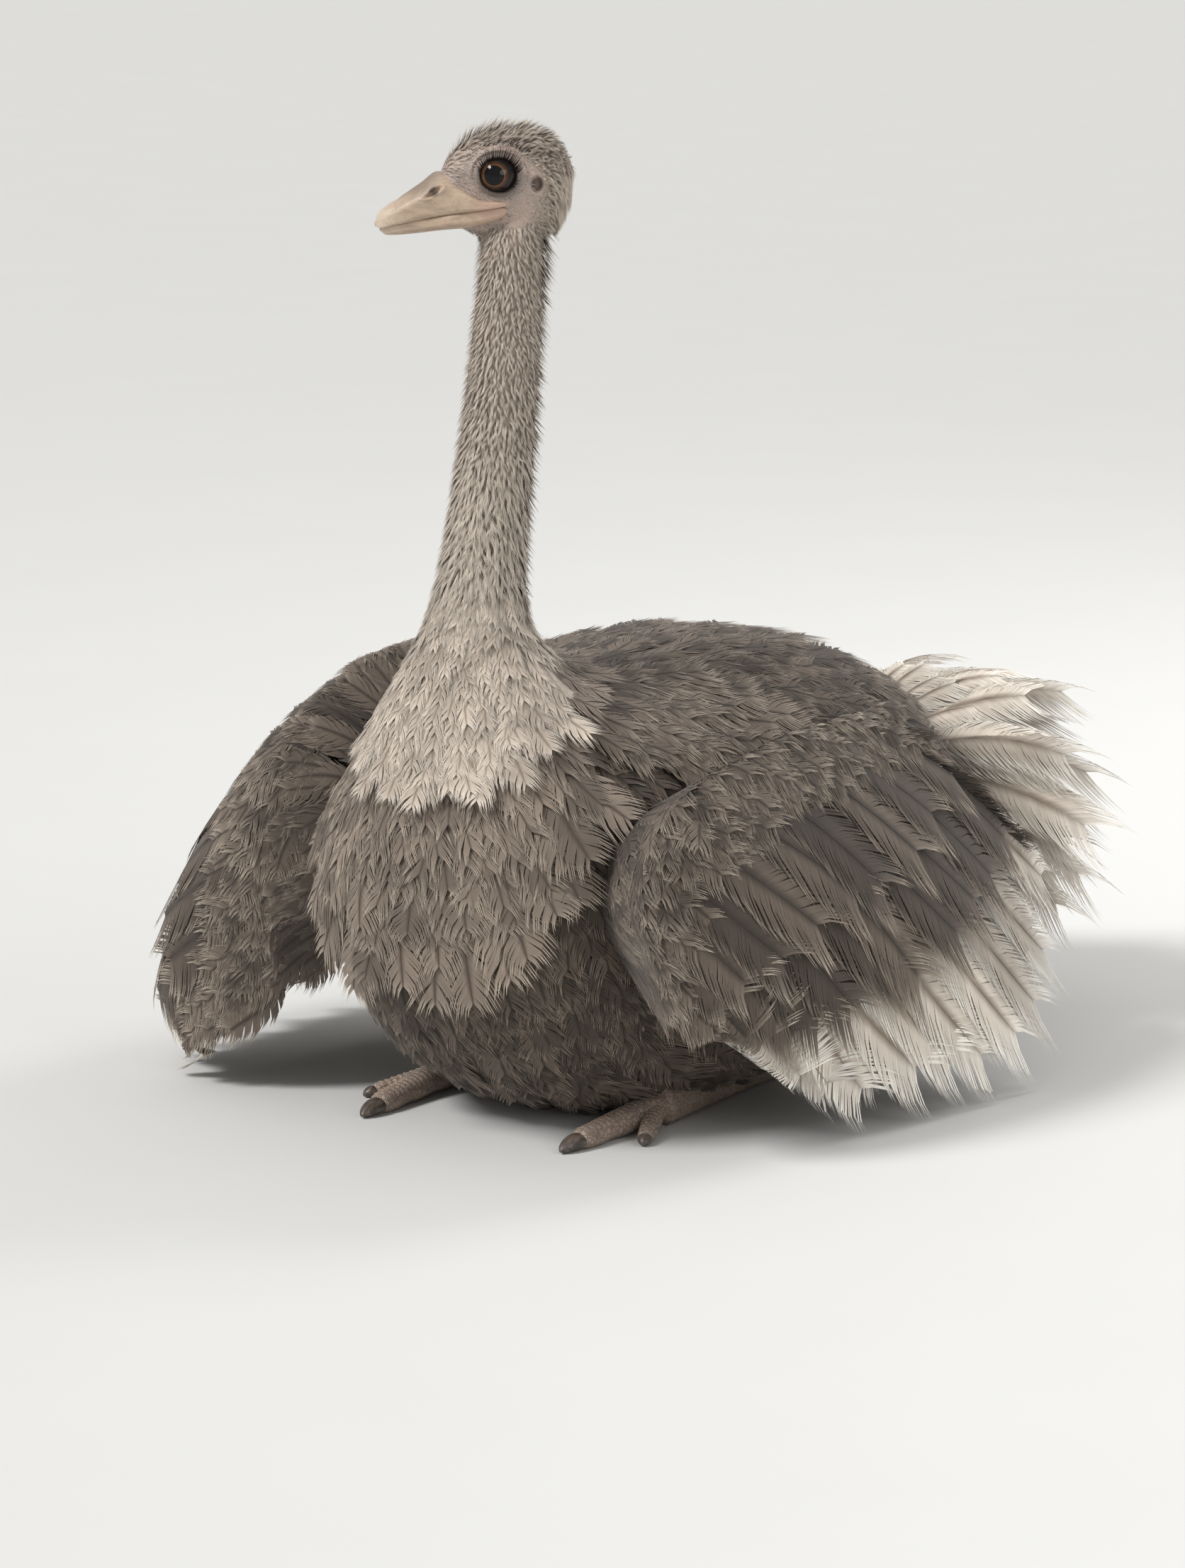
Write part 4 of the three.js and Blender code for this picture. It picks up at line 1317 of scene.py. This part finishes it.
def scapulars(sides):
    """The feathers between the back and the wing's top, with their pointed edge on the back."""
    roots = scatter(body, (0.46, 0.66), sides, 15, lambda u, v: u < scapular_end(v) - 0.075)
    size = rng.uniform(104, 128, len(roots[0]))
    height = body_height(22, scapular_top, 9, 5)
    loose = lay(body, roots, size, size * 0.46, along_body(0.3), height, MEDIUM, 8, 12, BODY_MAP)
    edge = fringe_row(8, sides, scapular_end, 0.074, 146, 88, scapular_top, 15)
    return loose + edge + fringe_row(9, sides, scapular_end, 0.1, 132, 78, scapular_top, 7)


# Rows of wing feathers: look, feathers, root and tip places down the wing, width in mm, height of
# the vanes over the plumes' outside, how far the roots are sunk, and how far the tips lift.
WING_ROWS = [
    ("plume", 14, 0.36, 0.88, 118, -17, 6, 0),
    ("plume", 12, 0.34, 0.94, 126, -9, 7, 1),
    ("plume", 11, 0.30, 0.995, 132, 0, 8, 4),
    ("covert", 12, 0.20, 0.61, 116, 8, 9, 0),
    ("covert", 11, 0.16, 0.69, 128, 17, 9, 4),
    ("shoulder", 12, 0.04, 0.37, 104, 24, 10, 0),
    ("shoulder", 10, 0.02, 0.45, 120, 33, 10, 4),
]
WING_FORMS = {"plume": PLUMES, "covert": LARGE, "shoulder": LARGE}
ROW_START, ROW_END = {"plume": 0.08, "covert": 0.08, "shoulder": 0.045}, 1.015  # along the span
HIND_END = 0.985
# The parts of (u, v) that are unwrapped: the rear's falls in a strip at the end of the wing's, and
# the lining's beside the plumes'.
WING_MAP = (-0.3, 1.3, -0.4, 1.4)
REAR_MAP = (-15.5, 1.17, -0.4, 1.4)
LINING_MAP = (-0.3, 1.3, -1.0, 0.8)


def down_wing(place, pu, pv, u, v):
    return pv


def wing_height(top, sunk, lift):
    """Height over a wing in one of its rows: each vane lies over one edge of the next."""
    def height(u, v, s, y, mine):
        fade = np.clip(np.sin(np.pi * np.clip(u, 0, 1)), 0, 1) ** 0.3 if top > 0 else 1
        shingled = (3.5 * y - 3 * y**2) * smooth(s, 0.05, 0.5)
        tips = lift * (0.5 + chance_of(mine)[:, None]) * smooth(s, 0.7, 1.1)
        return top * fade - sunk * (1 - np.clip(s, 0, 1)) ** 1.5 + shingled + tips

    return height


def wing_row(surface, row):
    """One row of a wing's feathers, from its roots to its tips down the wing."""
    look, count, start, stop, width, top, sunk, lift = row
    first, last = ROW_START[look], ROW_END
    turns = np.arange(count) + 0.5 + rng.uniform(-0.1, 0.1, count)
    span = first + (last - first) * turns / count
    begin = np.full(count, float(start))
    end = stop + rng.uniform(-0.03, 0.0, count)
    steps = begin + (end - begin) * np.linspace(0, 1, 12)[:, None]
    line = surface(np.broadcast_to(span, steps.shape), steps)
    length = np.linalg.norm(np.diff(line, axis=0), axis=-1).sum(0) / MM
    return lay(surface, (span, begin), length, np.minimum(width, length * 0.62), down_wing,
               wing_height(top, sunk, lift), WING_FORMS[look], 1.5, 3, WING_MAP)


def shoulder_feathers(surface):
    """Small feathers over the shoulder, from the body across to the wing's edge, and over the low
    front corner, where the long ones are short."""
    def inside(u, v):
        return (v < 0.03 + 0.32 * (1 - smooth(u, 0.04, 0.14))) & ((v > -0.01) | (u > 0.07))

    roots = scatter(surface, (0.0, 1.05), (-0.25, 0.5), 16.5, inside)
    size = 90 + 26 * smooth(roots[1], -0.2, 0.03) + rng.uniform(-8, 8, len(roots[0]))
    size = size * (1 - 0.45 * smooth(roots[1], 0.06, 0.4))

    def flow(place, pu, pv, u, v):
        hanging = smooth(-v, -0.08, 0.14) * (1 - smooth(u, 0.36, 0.6))
        return unit(pv) + DOWNWARDS * (0.25 + 1.15 * hanging)[..., None]

    def height(u, v, s, y, mine):
        top = (9 + 23 * smooth(v, -0.26, 0.02)) * (1 - 0.55 * smooth(v, 0.08, 0.4))
        top = top - 32 * smooth(u, 0.82, 1.0) * smooth(-v, -0.02, 0.08)  # sinks at the hind end
        stray = 9 * (chance_of(mine)[:, None] - 0.4) * s**2
        return top + stray - 16 * (1 - np.clip(s, 0, 1)) ** 1.4 - 5 * y**2

    return lay(surface, roots, size, size * 0.56, flow, height, MEDIUM, 5, 8, WING_MAP)


def edge_feathers(surface):
    """Feathers that lie down along the wing's leading edge."""
    roots = scatter(surface, (0.13, 0.62), (-0.09, 0.03), 20)
    size = rng.uniform(92, 118, len(roots[0]))

    def flow(place, pu, pv, u, v):
        return unit(pv) * 0.35 - unit(pu)

    def height(u, v, s, y, mine):
        stray = (2 + 12 * chance_of(mine)[:, None]) * s**2
        return 32 + stray - 17 * (1 - np.clip(s, 0, 1)) ** 1.4 - 7 * y**2

    return lay(surface, roots, size, size * 0.52, flow, height, POINTED, 8, 8, WING_MAP)


def corner_plumes(surface):
    """Short pale feathers that fringe the front of the long ones."""
    v = np.linspace(0.46, 0.88, 11)
    u = 0.055 + rng.uniform(-0.02, 0.02, len(v))

    def flow(place, pu, pv, u, v):
        return unit(pv) - unit(pu) * 0.55

    def height(u, v, s, y, mine):
        return 6 * s + 5 * chance_of(mine)[:, None] - 4 - 3 * y**2

    return lay(surface, (u, v), np.full(len(v), 72.0), 40, flow, height, POINTED, 8, 8, WING_MAP)


def rear_feathers(surface):
    """Feathers that close the wing's hind end, across the thickness of the arm."""
    def rear(u, v, out=0.0):
        span = HIND_END + np.asarray(out) / WING_SPAN
        return surface(span, v, 4 - arm_depth(np.clip(v, 0, 1)) * u)

    roots = scatter(rear, (0.0, 1.0), (-0.2, 0.6), 22)
    size = np.full(len(roots[0]), 118.0)

    def height(u, v, s, y, mine):
        buried = 36 * smooth(-v, -0.04, 0.06)  # under the shoulder's feathers
        return 1 + 9 * np.clip(s, 0, 1) - 4 * y**2 + 5 * chance_of(mine)[:, None] - buried

    return lay(rear, roots, size, size * 0.5, down_wing, height, MEDIUM, 7, 10, REAR_MAP)


def lining_feathers(surface):
    """Soft feathers over the wing's inner side."""
    def inner(u, v, out=0.0):
        return surface(u, v, 2 - arm_depth(np.clip(v, 0, 1)) - np.asarray(out))

    roots = scatter(inner, (0.2, 1.0), (0.0, 0.62), 30)
    size = np.full(len(roots[0]), 150.0)

    def height(u, v, s, y, mine):
        return 2 + 8 * np.clip(s, 0, 1) - 4 * y**2 + 4 * chance_of(mine)[:, None]

    return lay(inner, roots, size, size * 0.5, down_wing, height, MEDIUM, 6, 10, LINING_MAP)


TAIL_SOLE = 6  # lowest height of a tail plume
TAIL_COLUMNS = 15  # plumes in one row of the tail's unwrapped map


def tail_plumes():
    """Arching plumes in the rows of the solids, with shorter ones between, under and over them."""
    rows = []  # as in TAIL_ROWS, with each row's width before its root
    for count, rise, fan, length, droop, root in TAIL_ROWS:
        rows.append((count, rise, fan, length, droop, 128, root))
        rows.append((2 * count - 2, rise - 7, fan * 0.92, length * 0.88, droop, 112, root - 14))
    rows.append((7, 43, 48, 310, 0.42, 116, 30))
    rows.append((9, 50, 44, 215, 0.35, 92, 34))
    made = []
    for count, rise, fan, length, droop, width, root in rows:
        for place in np.linspace(-1, 1, count):
            form = PLUMES[rng.integers(0, len(PLUMES))]
            turn = math.radians(place * fan + TAIL_TURN + rng.uniform(-3, 3))
            up = math.radians(rise * (1 - 0.35 * place**2) + rng.uniform(-3, 3))
            flat = math.cos(up)
            ahead = np.array((math.sin(turn) * flat, math.cos(turn) * flat, math.sin(up)))
            start = np.array(TAIL_ROOT, float) + (place * 62, -20, root - 22 * place**2)
            long = length * (1 - 0.12 * place**2) * rng.uniform(1.03, 1.12)
            s, y = form["s"], form["y"]
            t = s[:, None]
            fall = DOWNWARDS * droop * long * rng.uniform(0.9, 1.1)
            forward = unit(ahead * long + 2 * fall * t)
            side = unit(np.cross(forward, (0, 0, 1)))
            roll = math.radians(34 * place + 12 + rng.uniform(-14, 14))
            over = np.cross(side, forward)
            cos, sin = math.cos(roll), math.sin(roll)
            side, over = side * cos - over * sin, over * cos + side * sin
            half = width / 2 * ((0.7 + 0.3 * smooth(s, 0, 0.5)) * (1 - 0.22 * y**2))[:, None]
            hang = (3 * y - 30 * y**2 * rng.uniform(0.7, 1.2)) * smooth(s, 0.05, 0.55) + form["h"]
            point = start + ahead * long * t + fall * t**2
            point = point + side * y[:, None] * half + over * hang[:, None]
            point[:, 2] = np.maximum(point[:, 2], TAIL_SOLE)
            row, column = divmod(len(made), TAIL_COLUMNS)
            spot = np.array([0.02 + 0.06 * column]), np.array([0.05 + 0.11 * row])
            made.append(((point * MM + SHIFT)[None], form["faces"], feather_maps(*spot, form, 1)))
    return made


def neck_down():
    """Short down all over the neck, longer and shaggier down the nape and towards the ruff."""
    roots = scatter(body, (-0.02, NECK_END + 0.02), TURN, 3.8)
    nape = smooth(np.sin(roots[1]), 0.1, 0.9)
    under_head = nape * smooth(-roots[0], -0.11, -0.02)
    size = 13 + 12 * smooth(roots[0], 0.1, 0.34) + 11 * nape * smooth(-roots[0], -0.3, 0.0)
    size = size + 9 * under_head
    size = size * rng.uniform(0.8, 1.25, len(size))

    def height(u, v, s, y, mine):
        full = 0.5 * under_head[mine]
        stand = full + (1 - full) * (np.sin(mine * 7.13) * 0.5 + 0.5) ** 1.3
        lift = ((1.5 + 8.5 * nape + 7 * under_head)[mine] * stand)[:, None]
        return -9 + (8.5 + lift) * np.clip(s, 0, 1.2) ** 1.1

    return lay(body, roots, size, size * 0.42, along_body(0.2), height, DOWN, 14, 0, BODY_MAP)


HEAD_MAP = (-90, 62, *TURN)
BRISTLE_WIDTHS = np.array((0.46, 0.4, 0.28, 0.06)) * MM


def head_down():
    """Down on the crown, brow, cheeks and nape, and fine bristles on the bare skin between."""
    def look_at(u, v):
        x, y, z = np.moveaxis(cranium(u, v), -1, 0)
        eye, ear = (np.where(np.abs(y) > 10, far, 9) for far in from_openings(x, z))
        return x, y, z, eye, ear

    def covered(u, v):
        x, y, z, eye, ear = look_at(u, v)
        front = 63 - 24 * smooth(-z, -14, 8)
        below = (z < -36) & (x > -4) & (np.abs(y) > 14)
        lore = (x > 8) & (z < 16 - 13 * smooth(x, 20, 50))
        return (eye > 1.66) & (ear > 1.0) & (x < front) & ~below & ~lore

    def bare(u, v):
        x, _, _, eye, ear = look_at(u, v)
        return (eye > 1.4) & (ear > 0.9) & (x < 52) & ~covered(u, v)

    roots = scatter(scalp, (-86, 62.5), TURN, 3.2, covered)
    x, _, z, eye, _ = look_at(*roots)
    crown = smooth(z, 12, 44)
    brow = (1 - smooth(eye, 1.75, 2.1)) * smooth(z, 10, 20)
    nape = smooth(-x, 46, 70) * smooth(-z, -14, 16)
    forehead = smooth(x, 16, 44) * smooth(z, -2, 14)
    beyond = smooth(np.minimum(eye, 3), 1.66, 2.5)
    size = 7 + 6 * smooth(-x, 10, 60) + 11 * crown * smooth(-x, -58, -20) + 12 * nape + 4 * forehead
    size = size * (0.6 + 0.4 * beyond) + 4 * brow
    size = size * rng.uniform(0.8, 1.2, len(size))
    flow_back = HEAD_ARRAY[:3, :3] @ np.array((-1.0, 0, 0)) / (HEAD_SCALE * MM)

    def flow(place, pu, pv, u, v):
        return flow_back + DOWNWARDS * (0.35 + 1.6 * smooth(-u, 40, 85))[:, None]

    def height(u, v, s, y, mine):
        stand = 1.0 + 8.5 * crown + 3 * brow + 6 * nape + 3.5 * forehead
        stand = stand + 3 * nape * smooth(-z, 2, 30)
        lift = (stand[mine] * (0.15 + 0.85 * chance_of(mine)))[:, None]
        base = head_coat(u) + 1.5
        return -base + (base + lift - 0.5) * np.clip(s, 0, 1.2)

    down = lay(scalp, roots, size, size * 0.4, flow, height, DOWN, 16, 0, HEAD_MAP)
    on_face = scatter(scalp, (-84, 61), TURN, 2.6, bare)
    return down + [bristles(on_face, unit(flow_back + DOWNWARDS * 0.3))]


def bristles(roots, lie):
    """Short single hairs that stand a little off the face's skin."""
    u, v = roots
    on_skin = [face_tree.find_nearest(place)[:2] for place in scalp(u, v)]
    start = np.array([place for place, _ in on_skin])
    out = np.array([normal for _, normal in on_skin])
    along = unit(lie - out * (out @ lie)[:, None] + rng.normal(0, 0.25, (len(u), 3)))
    reach = rng.uniform(3.0, 6.5, len(u))[:, None, None] * MM
    t = np.linspace(0, 1, 4)[None, :, None]
    course = along[:, None] * t + out[:, None] * (0.75 * t - 0.4 * t * t)
    paths = start[:, None] - 0.4 * MM * out[:, None] + reach * course
    hairs, faces = spikes(paths, BRISTLE_WIDTHS)
    s = np.repeat(np.linspace(0, 1, 4), 3)
    form = {"s": s, "y": np.tile((-1.0, 0.0, 1.0), 4), "q": 0.5 * s, "b": np.full(12, 0.5)}
    square_u = (u - HEAD_MAP[0]) / (HEAD_MAP[1] - HEAD_MAP[0])
    return hairs, faces, feather_maps(square_u, v / TURN[1], form, len(u))


# ---- what each piece is finished with ----------------------------------------------------------

MOTTLE = (0.35, 0.7)  # the part of a noise that its two colours share out


def head_skin_finish():
    """Mottled pinkish grey skin with fine pores, painted shade in the openings of the eyes and
    ears, duller on the neck.
    """
    f = Finish("bare_head_skin", Roughness=0.55)
    colour = f.mix(f.noise(38, 4).between(*MOTTLE), (0.36, 0.27, 0.225), (0.27, 0.225, 0.2))
    fine = f.noise(420, 3)
    colour = f.mix(fine.between(0.35, 0.75) * 0.5, colour, (0.46, 0.37, 0.31))
    # painted shade: the skin turns near black into the eye's and ear's openings, where shade falls
    opening_shades = []
    for side in (1, -1):
        opening_shades.append(1 - f.far(from_head((0, side * 38, 0))).between(0.0255, 0.034))
        opening_shades.append(1 - f.far(from_head((EAR[0], side * 34, EAR[1]))).between(0.005, 0.013))
    rim = opening_shades[0] + opening_shades[1] + opening_shades[2] + opening_shades[3]
    colour = f.mix(rim * 0.75, colour, (0.07, 0.052, 0.045))
    behind = f.far(from_head((30, 0, -12))).between(0.09, 0.112)
    colour = f.mix(behind, colour, (0.25, 0.2, 0.158))
    pores = f.node(
        "ShaderNodeTexVoronoi", {"feature": "F1"}, {"Vector": f.place(), "Scale": 520.0}, "Distance"
    )
    height = pores * 0.5 + f.noise(160, 5, stretch=(1, 1, 2.2)) * 0.9
    return f.done(base_color=colour, normal=f.bump(height, 0.0012, 0.6))


def body_skin_finish():
    """Skin under the feathers painted dark as their shade, seen through the gaps between them;
    lighter up the neck.
    """
    f = Finish("skin_painted_feather_shade", Roughness=0.9)
    # painted shade: the dark stands for the shadow under the feathers
    colour = f.mix(f.noise(9).between(*MOTTLE), (0.085, 0.062, 0.046), (0.13, 0.1, 0.076))
    z = f.parts(f.place())[2]
    colour = f.mix(z.between(0.62, 0.74), colour, (0.30, 0.235, 0.18))
    return f.done(base_color=colour, normal=f.bump(f.noise(260, 4), 0.004, 0.8))


def leg_finish():
    """Grey-brown scales with dark grooves between them, darker near the ground."""
    f = Finish("scaled_legs", Roughness=0.6)
    cells = f.node(
        "ShaderNodeTexVoronoi", {"feature": "DISTANCE_TO_EDGE"},
        {"Vector": f.place(), "Scale": 150.0},
    )
    grooves = cells.between(0.0, 0.09)
    colour = f.mix(f.noise(24, 4).between(*MOTTLE), (0.34, 0.255, 0.2), (0.235, 0.185, 0.155))
    colour = f.mix(f.noise(240, 3).between(0.45, 0.75) * 0.5, colour, (0.45, 0.36, 0.29))
    colour = f.mix((1 - grooves) * 0.6, colour, (0.13, 0.095, 0.075))
    z = f.parts(f.place())[2]
    # darker within 12 mm of the ground
    colour = f.mix((1 - z.between(0.0, 0.012)) * 0.5, colour, (0.17, 0.13, 0.10))
    height = grooves * 0.8 + f.noise(500, 3) * 0.5
    return f.done(base_color=colour, normal=f.bump(height, 0.0016, 0.7))


def along_bill(f):
    """Object coordinates turned so that x runs along the bill."""
    turn = (0, 0, math.radians(90 + HEAD_TURN))
    return f.node("ShaderNodeMapping", inputs={"Vector": f.place(), "Rotation": turn})


def horn_finish(name, upper):
    """Streaked horn, pale at the tip and flesh-coloured at the gape; the upper bill has a dark
    ridge, and painted shade in its nostrils."""
    f = Finish(name, Roughness=0.5, Coat_Weight=0.06, Coat_Roughness=0.3)
    turned = along_bill(f)
    streaks = f.node("ShaderNodeMapping", inputs={"Vector": turned, "Scale": (26.0, 260.0, 160.0)})
    streak = f.node("ShaderNodeTexNoise", inputs={"Vector": streaks, "Scale": 1.0, "Detail": 4.0})
    colour = f.mix(streak.between(*MOTTLE), (0.46, 0.345, 0.25), (0.35, 0.26, 0.19))
    tip = f.far(from_head((138, 0, -40)))
    colour = f.mix(1 - tip.between(0.012, 0.05), colour, (0.53, 0.43, 0.33))
    if upper:
        ridge = f.far(from_head((88, 0, 10))).between(0.016, 0.05)
        colour = f.mix((1 - ridge) * 0.75, colour, (0.15, 0.115, 0.092))
        for side in (1, -1):
            # painted shade inside the nostrils' pits
            nostril_shade = f.far(nostril(side)).between(0.004, 0.0085)
            colour = f.mix((1 - nostril_shade) * 0.85, colour, (0.045, 0.03, 0.026))
    gape = f.far(from_head((-8, 40, -34))).between(0.02, 0.06)
    other = f.far(from_head((-8, -40, -34))).between(0.02, 0.06)
    colour = f.mix((1 - gape * other) * 0.7, colour, (0.45, 0.29, 0.22))
    flakes = f.noise(190, 5, stretch=(1, 1, 2.5)).between(0.5, 0.72)
    colour = f.mix(flakes * 0.45, colour, (0.25, 0.19, 0.145))
    rough = streak * 0.22 + 0.4
    relief = f.bump(streak + f.noise(300) * 0.4, 0.0008, 0.6)
    return f.done(base_color=colour, roughness=rough, normal=relief)


def eye_finish(name, front):
    """A black pupil, a brown iris that darkens to its rim, and the dark round the eyeball."""
    f = Finish(name, Roughness=0.05, IOR=1.33)
    away = f.far(front)
    rays = f.noise(520, 3) * 0.004
    iris = f.mix((away + rays).between(0.0140, 0.0192), (0.17, 0.078, 0.03), (0.055, 0.024, 0.011))
    colour = f.mix(away.between(0.0130, 0.0137), (0.002, 0.002, 0.0025), iris)
    colour = f.mix(away.between(0.0182, 0.0202), colour, (0.012, 0.009, 0.009))
    return f.done(base_color=colour)


def claw_finish():
    """Dark streaked horn."""
    f = Finish("claw_horn", Roughness=0.45, Coat_Weight=0.1)
    streak = f.noise(90, 4, stretch=(3, 0.6, 1))
    colour = f.mix(streak.between(*MOTTLE), (0.05, 0.038, 0.031), (0.13, 0.1, 0.08))
    return f.done(base_color=colour, normal=f.bump(streak, 0.001, 0.6))


def hair_finish(name, shade):
    """Hairs of a warm dark shade, some lighter."""
    f = Finish(name, Roughness=0.45)
    dark, light = (shade, shade * 0.8, shade * 0.68), (shade * 3, shade * 2.3, shade * 1.9)
    return f.done(base_color=f.mix(f.noise(300).between(0.3, 0.7), dark, light))


# Colours of the feathers: the shaft, the vanes in patches of two shades, the pale fringe; where the
# fringe starts and is full along the barbs and along the feather, and how strong it is.
FEATHER_COLOURS = {
    "body_feathers": (
        (0.042, 0.031, 0.023), (0.07, 0.053, 0.041), (0.112, 0.086, 0.066), (0.34, 0.28, 0.22),
        (0.6, 1.05), (0.82, 1.05), 0.9,
    ),
    "bib_feathers": (
        (0.085, 0.063, 0.048), (0.14, 0.11, 0.086), (0.20, 0.158, 0.125), (0.45, 0.38, 0.305),
        (0.55, 1.05), (0.78, 1.03), 0.9,
    ),
    "ruff_feathers": (
        (0.27, 0.218, 0.172), (0.38, 0.318, 0.26), (0.46, 0.392, 0.325), (0.66, 0.59, 0.51),
        (0.45, 1.0), (0.7, 1.05), 0.9,
    ),
    "covert_feathers": (
        (0.048, 0.035, 0.027), (0.08, 0.061, 0.047), (0.125, 0.097, 0.075), (0.42, 0.355, 0.285),
        (0.62, 1.1), (0.74, 1.06), 1.0,
    ),
    "wing_plumes": (
        (0.25, 0.2, 0.157), (0.47, 0.41, 0.345), (0.60, 0.54, 0.465), (0.84, 0.80, 0.73),
        (0.35, 1.0), (0.66, 1.0), 1.0,
    ),
    "tail_plumes": (
        (0.23, 0.183, 0.143), (0.43, 0.37, 0.305), (0.56, 0.495, 0.42), (0.82, 0.775, 0.70),
        (0.35, 1.0), (0.66, 1.0), 1.0,
    ),
    "neck_down": (
        (0.34, 0.275, 0.215), (0.40, 0.33, 0.265), (0.48, 0.41, 0.335), (0.60, 0.54, 0.46),
        (0.3, 1.0), (0.6, 1.1), 0.9,
    ),
    "head_down": (
        (0.27, 0.21, 0.165), (0.34, 0.275, 0.22), (0.42, 0.35, 0.285), (0.56, 0.49, 0.41),
        (0.3, 1.0), (0.6, 1.1), 0.9,
    ),
}


def feather_finish(name, shaft, inner, second, outer, fringe, tip, strength):
    """Colours from the shaft out along the barbs to a pale fringe, each feather and barb a little
    different, in soft patches over the body, with painted shade that darkens each feather towards
    its root, under the feather over it."""
    f = Finish(name, Roughness=0.86, Sheen_Weight=0.06, Sheen_Roughness=0.5)
    s, q = f.map("vane")
    feather, barb = f.map("tint")
    patches = (f.noise(6.0, 2) + (feather - 0.5) * 0.5).between(0.3, 0.72)
    colour = f.mix(patches, inner, second)
    colour = f.mix(q.between(0.0, 0.22), shaft, colour)
    edge = q.between(*fringe) + s.between(*tip)
    edge = edge.math("MINIMUM", edge, 1.0)
    colour = f.mix(edge * (barb * 0.35 + strength - 0.25), colour, outer)
    # a random tone for each feather and barb, and painted shade: darker towards the root, where the
    # next feather lies over it
    shade = (feather * 0.36 + 0.78) * (barb * 0.18 + 0.89) * (s.between(0.08, 0.62) * 0.5 + 0.5)
    colour = f.mix(1.0, colour, shade, "MULTIPLY")
    return f.done(base_color=colour)


def floor_finish():
    """A plain pale floor."""
    f = Finish("plain_floor", Roughness=0.9)
    return f.done(base_color=f.mix(f.noise(3), (0.60, 0.597, 0.585), (0.62, 0.617, 0.605)))


# ---- the pieces --------------------------------------------------------------------------------

make_camera()
make_lights()

floor_shape = bmesh.new()
bmesh.ops.create_grid(floor_shape, x_segments=2, y_segments=2, size=FLOOR_REACH)
floor_mesh = finished(floor_shape)
floor = bpy.data.objects.new("floor", floor_mesh)
bpy.context.scene.collection.objects.link(floor)
floor_mesh.materials.append(floor_finish())

SIDES = {"left": 1, "right": -1}
face_shell = head_flesh()
face_tree = BVHTree.FromBMesh(face_shell)
flesh_parts = [(face_shell, 0), (trunk_flesh(), 1)]
flesh_parts += [(shell, 2) for side in SIDES.values() for shell in leg_flesh(side)]
for shell, finish_index in flesh_parts:
    for face in shell.faces:
        face.material_index = finish_index
LEG_NODES = [f"{part}_{side}{end}" for side in SIDES for part, end in
             (("thigh", ""), ("shank", ""), ("toe", "_inner"), ("toe", "_outer"))]
FLESH_NODES = ["trunk", "neck_upper", "neck_lower", "head", "ear_left", "ear_right",
               "wing_left", "wing_right", *LEG_NODES]
new_piece("skin", finished(gather([shell for shell, _ in flesh_parts])),
          [head_skin_finish(), body_skin_finish(), leg_finish()], FLESH_NODES)

claws = gather([shell for side in SIDES.values() for shell in nail_shells(side)])
new_piece("claws", finished(claws), [claw_finish()],
          [f"nail_{side}_{toe}" for side in SIDES for toe in TOES])
new_piece("upper_bill", finished(bill_shell(upper_bill, BILL_UPPER, upper_relief)),
          [horn_finish("upper_bill_horn", True)], ["bill_upper"])
new_piece("lower_bill", finished(bill_shell(lower_bill, BILL_LOWER)),
          [horn_finish("lower_bill_horn", False)], ["bill_lower"])
for name, side in SIDES.items():
    eyeball, front = make_eye(side)
    new_piece(f"eyeball_{name}", eyeball, [eye_finish(f"eye_{name}_brown", front)],
              [f"eye_{name}"])
    hairs = array_mesh("lashes", *spikes(lash_paths(side), LASH_WIDTHS))
    new_piece(f"lashes_{name}", hairs, [hair_finish("lash_black", 0.006)])
    hairs = array_mesh("brow", *spikes(brow_paths(side), BROW_WIDTHS))
    new_piece(f"brow_{name}", hairs, [hair_finish("brow_brown", 0.018)])

looks = {name: feather_finish(name, *colours) for name, colours in FEATHER_COLOURS.items()}
body_look, covert_look = looks["body_feathers"], looks["covert_feathers"]
coat_piece("head_down", head_down(), looks["head_down"])
coat_piece("neck_down", neck_down(), looks["neck_down"])
coat_piece("ruff", ruff_feathers(pale), looks["ruff_feathers"])
coat_piece("bib", bib_feathers() + ruff_feathers(dark), looks["bib_feathers"])
for name, half in HALVES.items():
    for part, layer in BODY_LAYERS.items():
        coat_piece(f"{part}_feathers_{name}", body_feathers(*layer, half), body_look)
for name, wing in WINGS.items():
    surface = wing_surface(wing)
    plumes = lining_feathers(surface) + corner_plumes(surface)
    coverts = shoulder_feathers(surface) + edge_feathers(surface) + rear_feathers(surface)
    for row in WING_ROWS:
        (plumes if row[0] == "plume" else coverts).extend(wing_row(surface, row))
    coat_piece(f"wing_{name}_long_plumes", plumes, looks["wing_plumes"],
               [f"wing_{name}_plumes"])
    coat_piece(f"wing_{name}_coverts", coverts, covert_look)
coat_piece("tail_fan", tail_plumes(), looks["tail_plumes"], ["tail"])
for name, sides in SCAPULAR_SIDES.items():
    coat_piece(f"scapulars_{name}", scapulars(sides), covert_look)
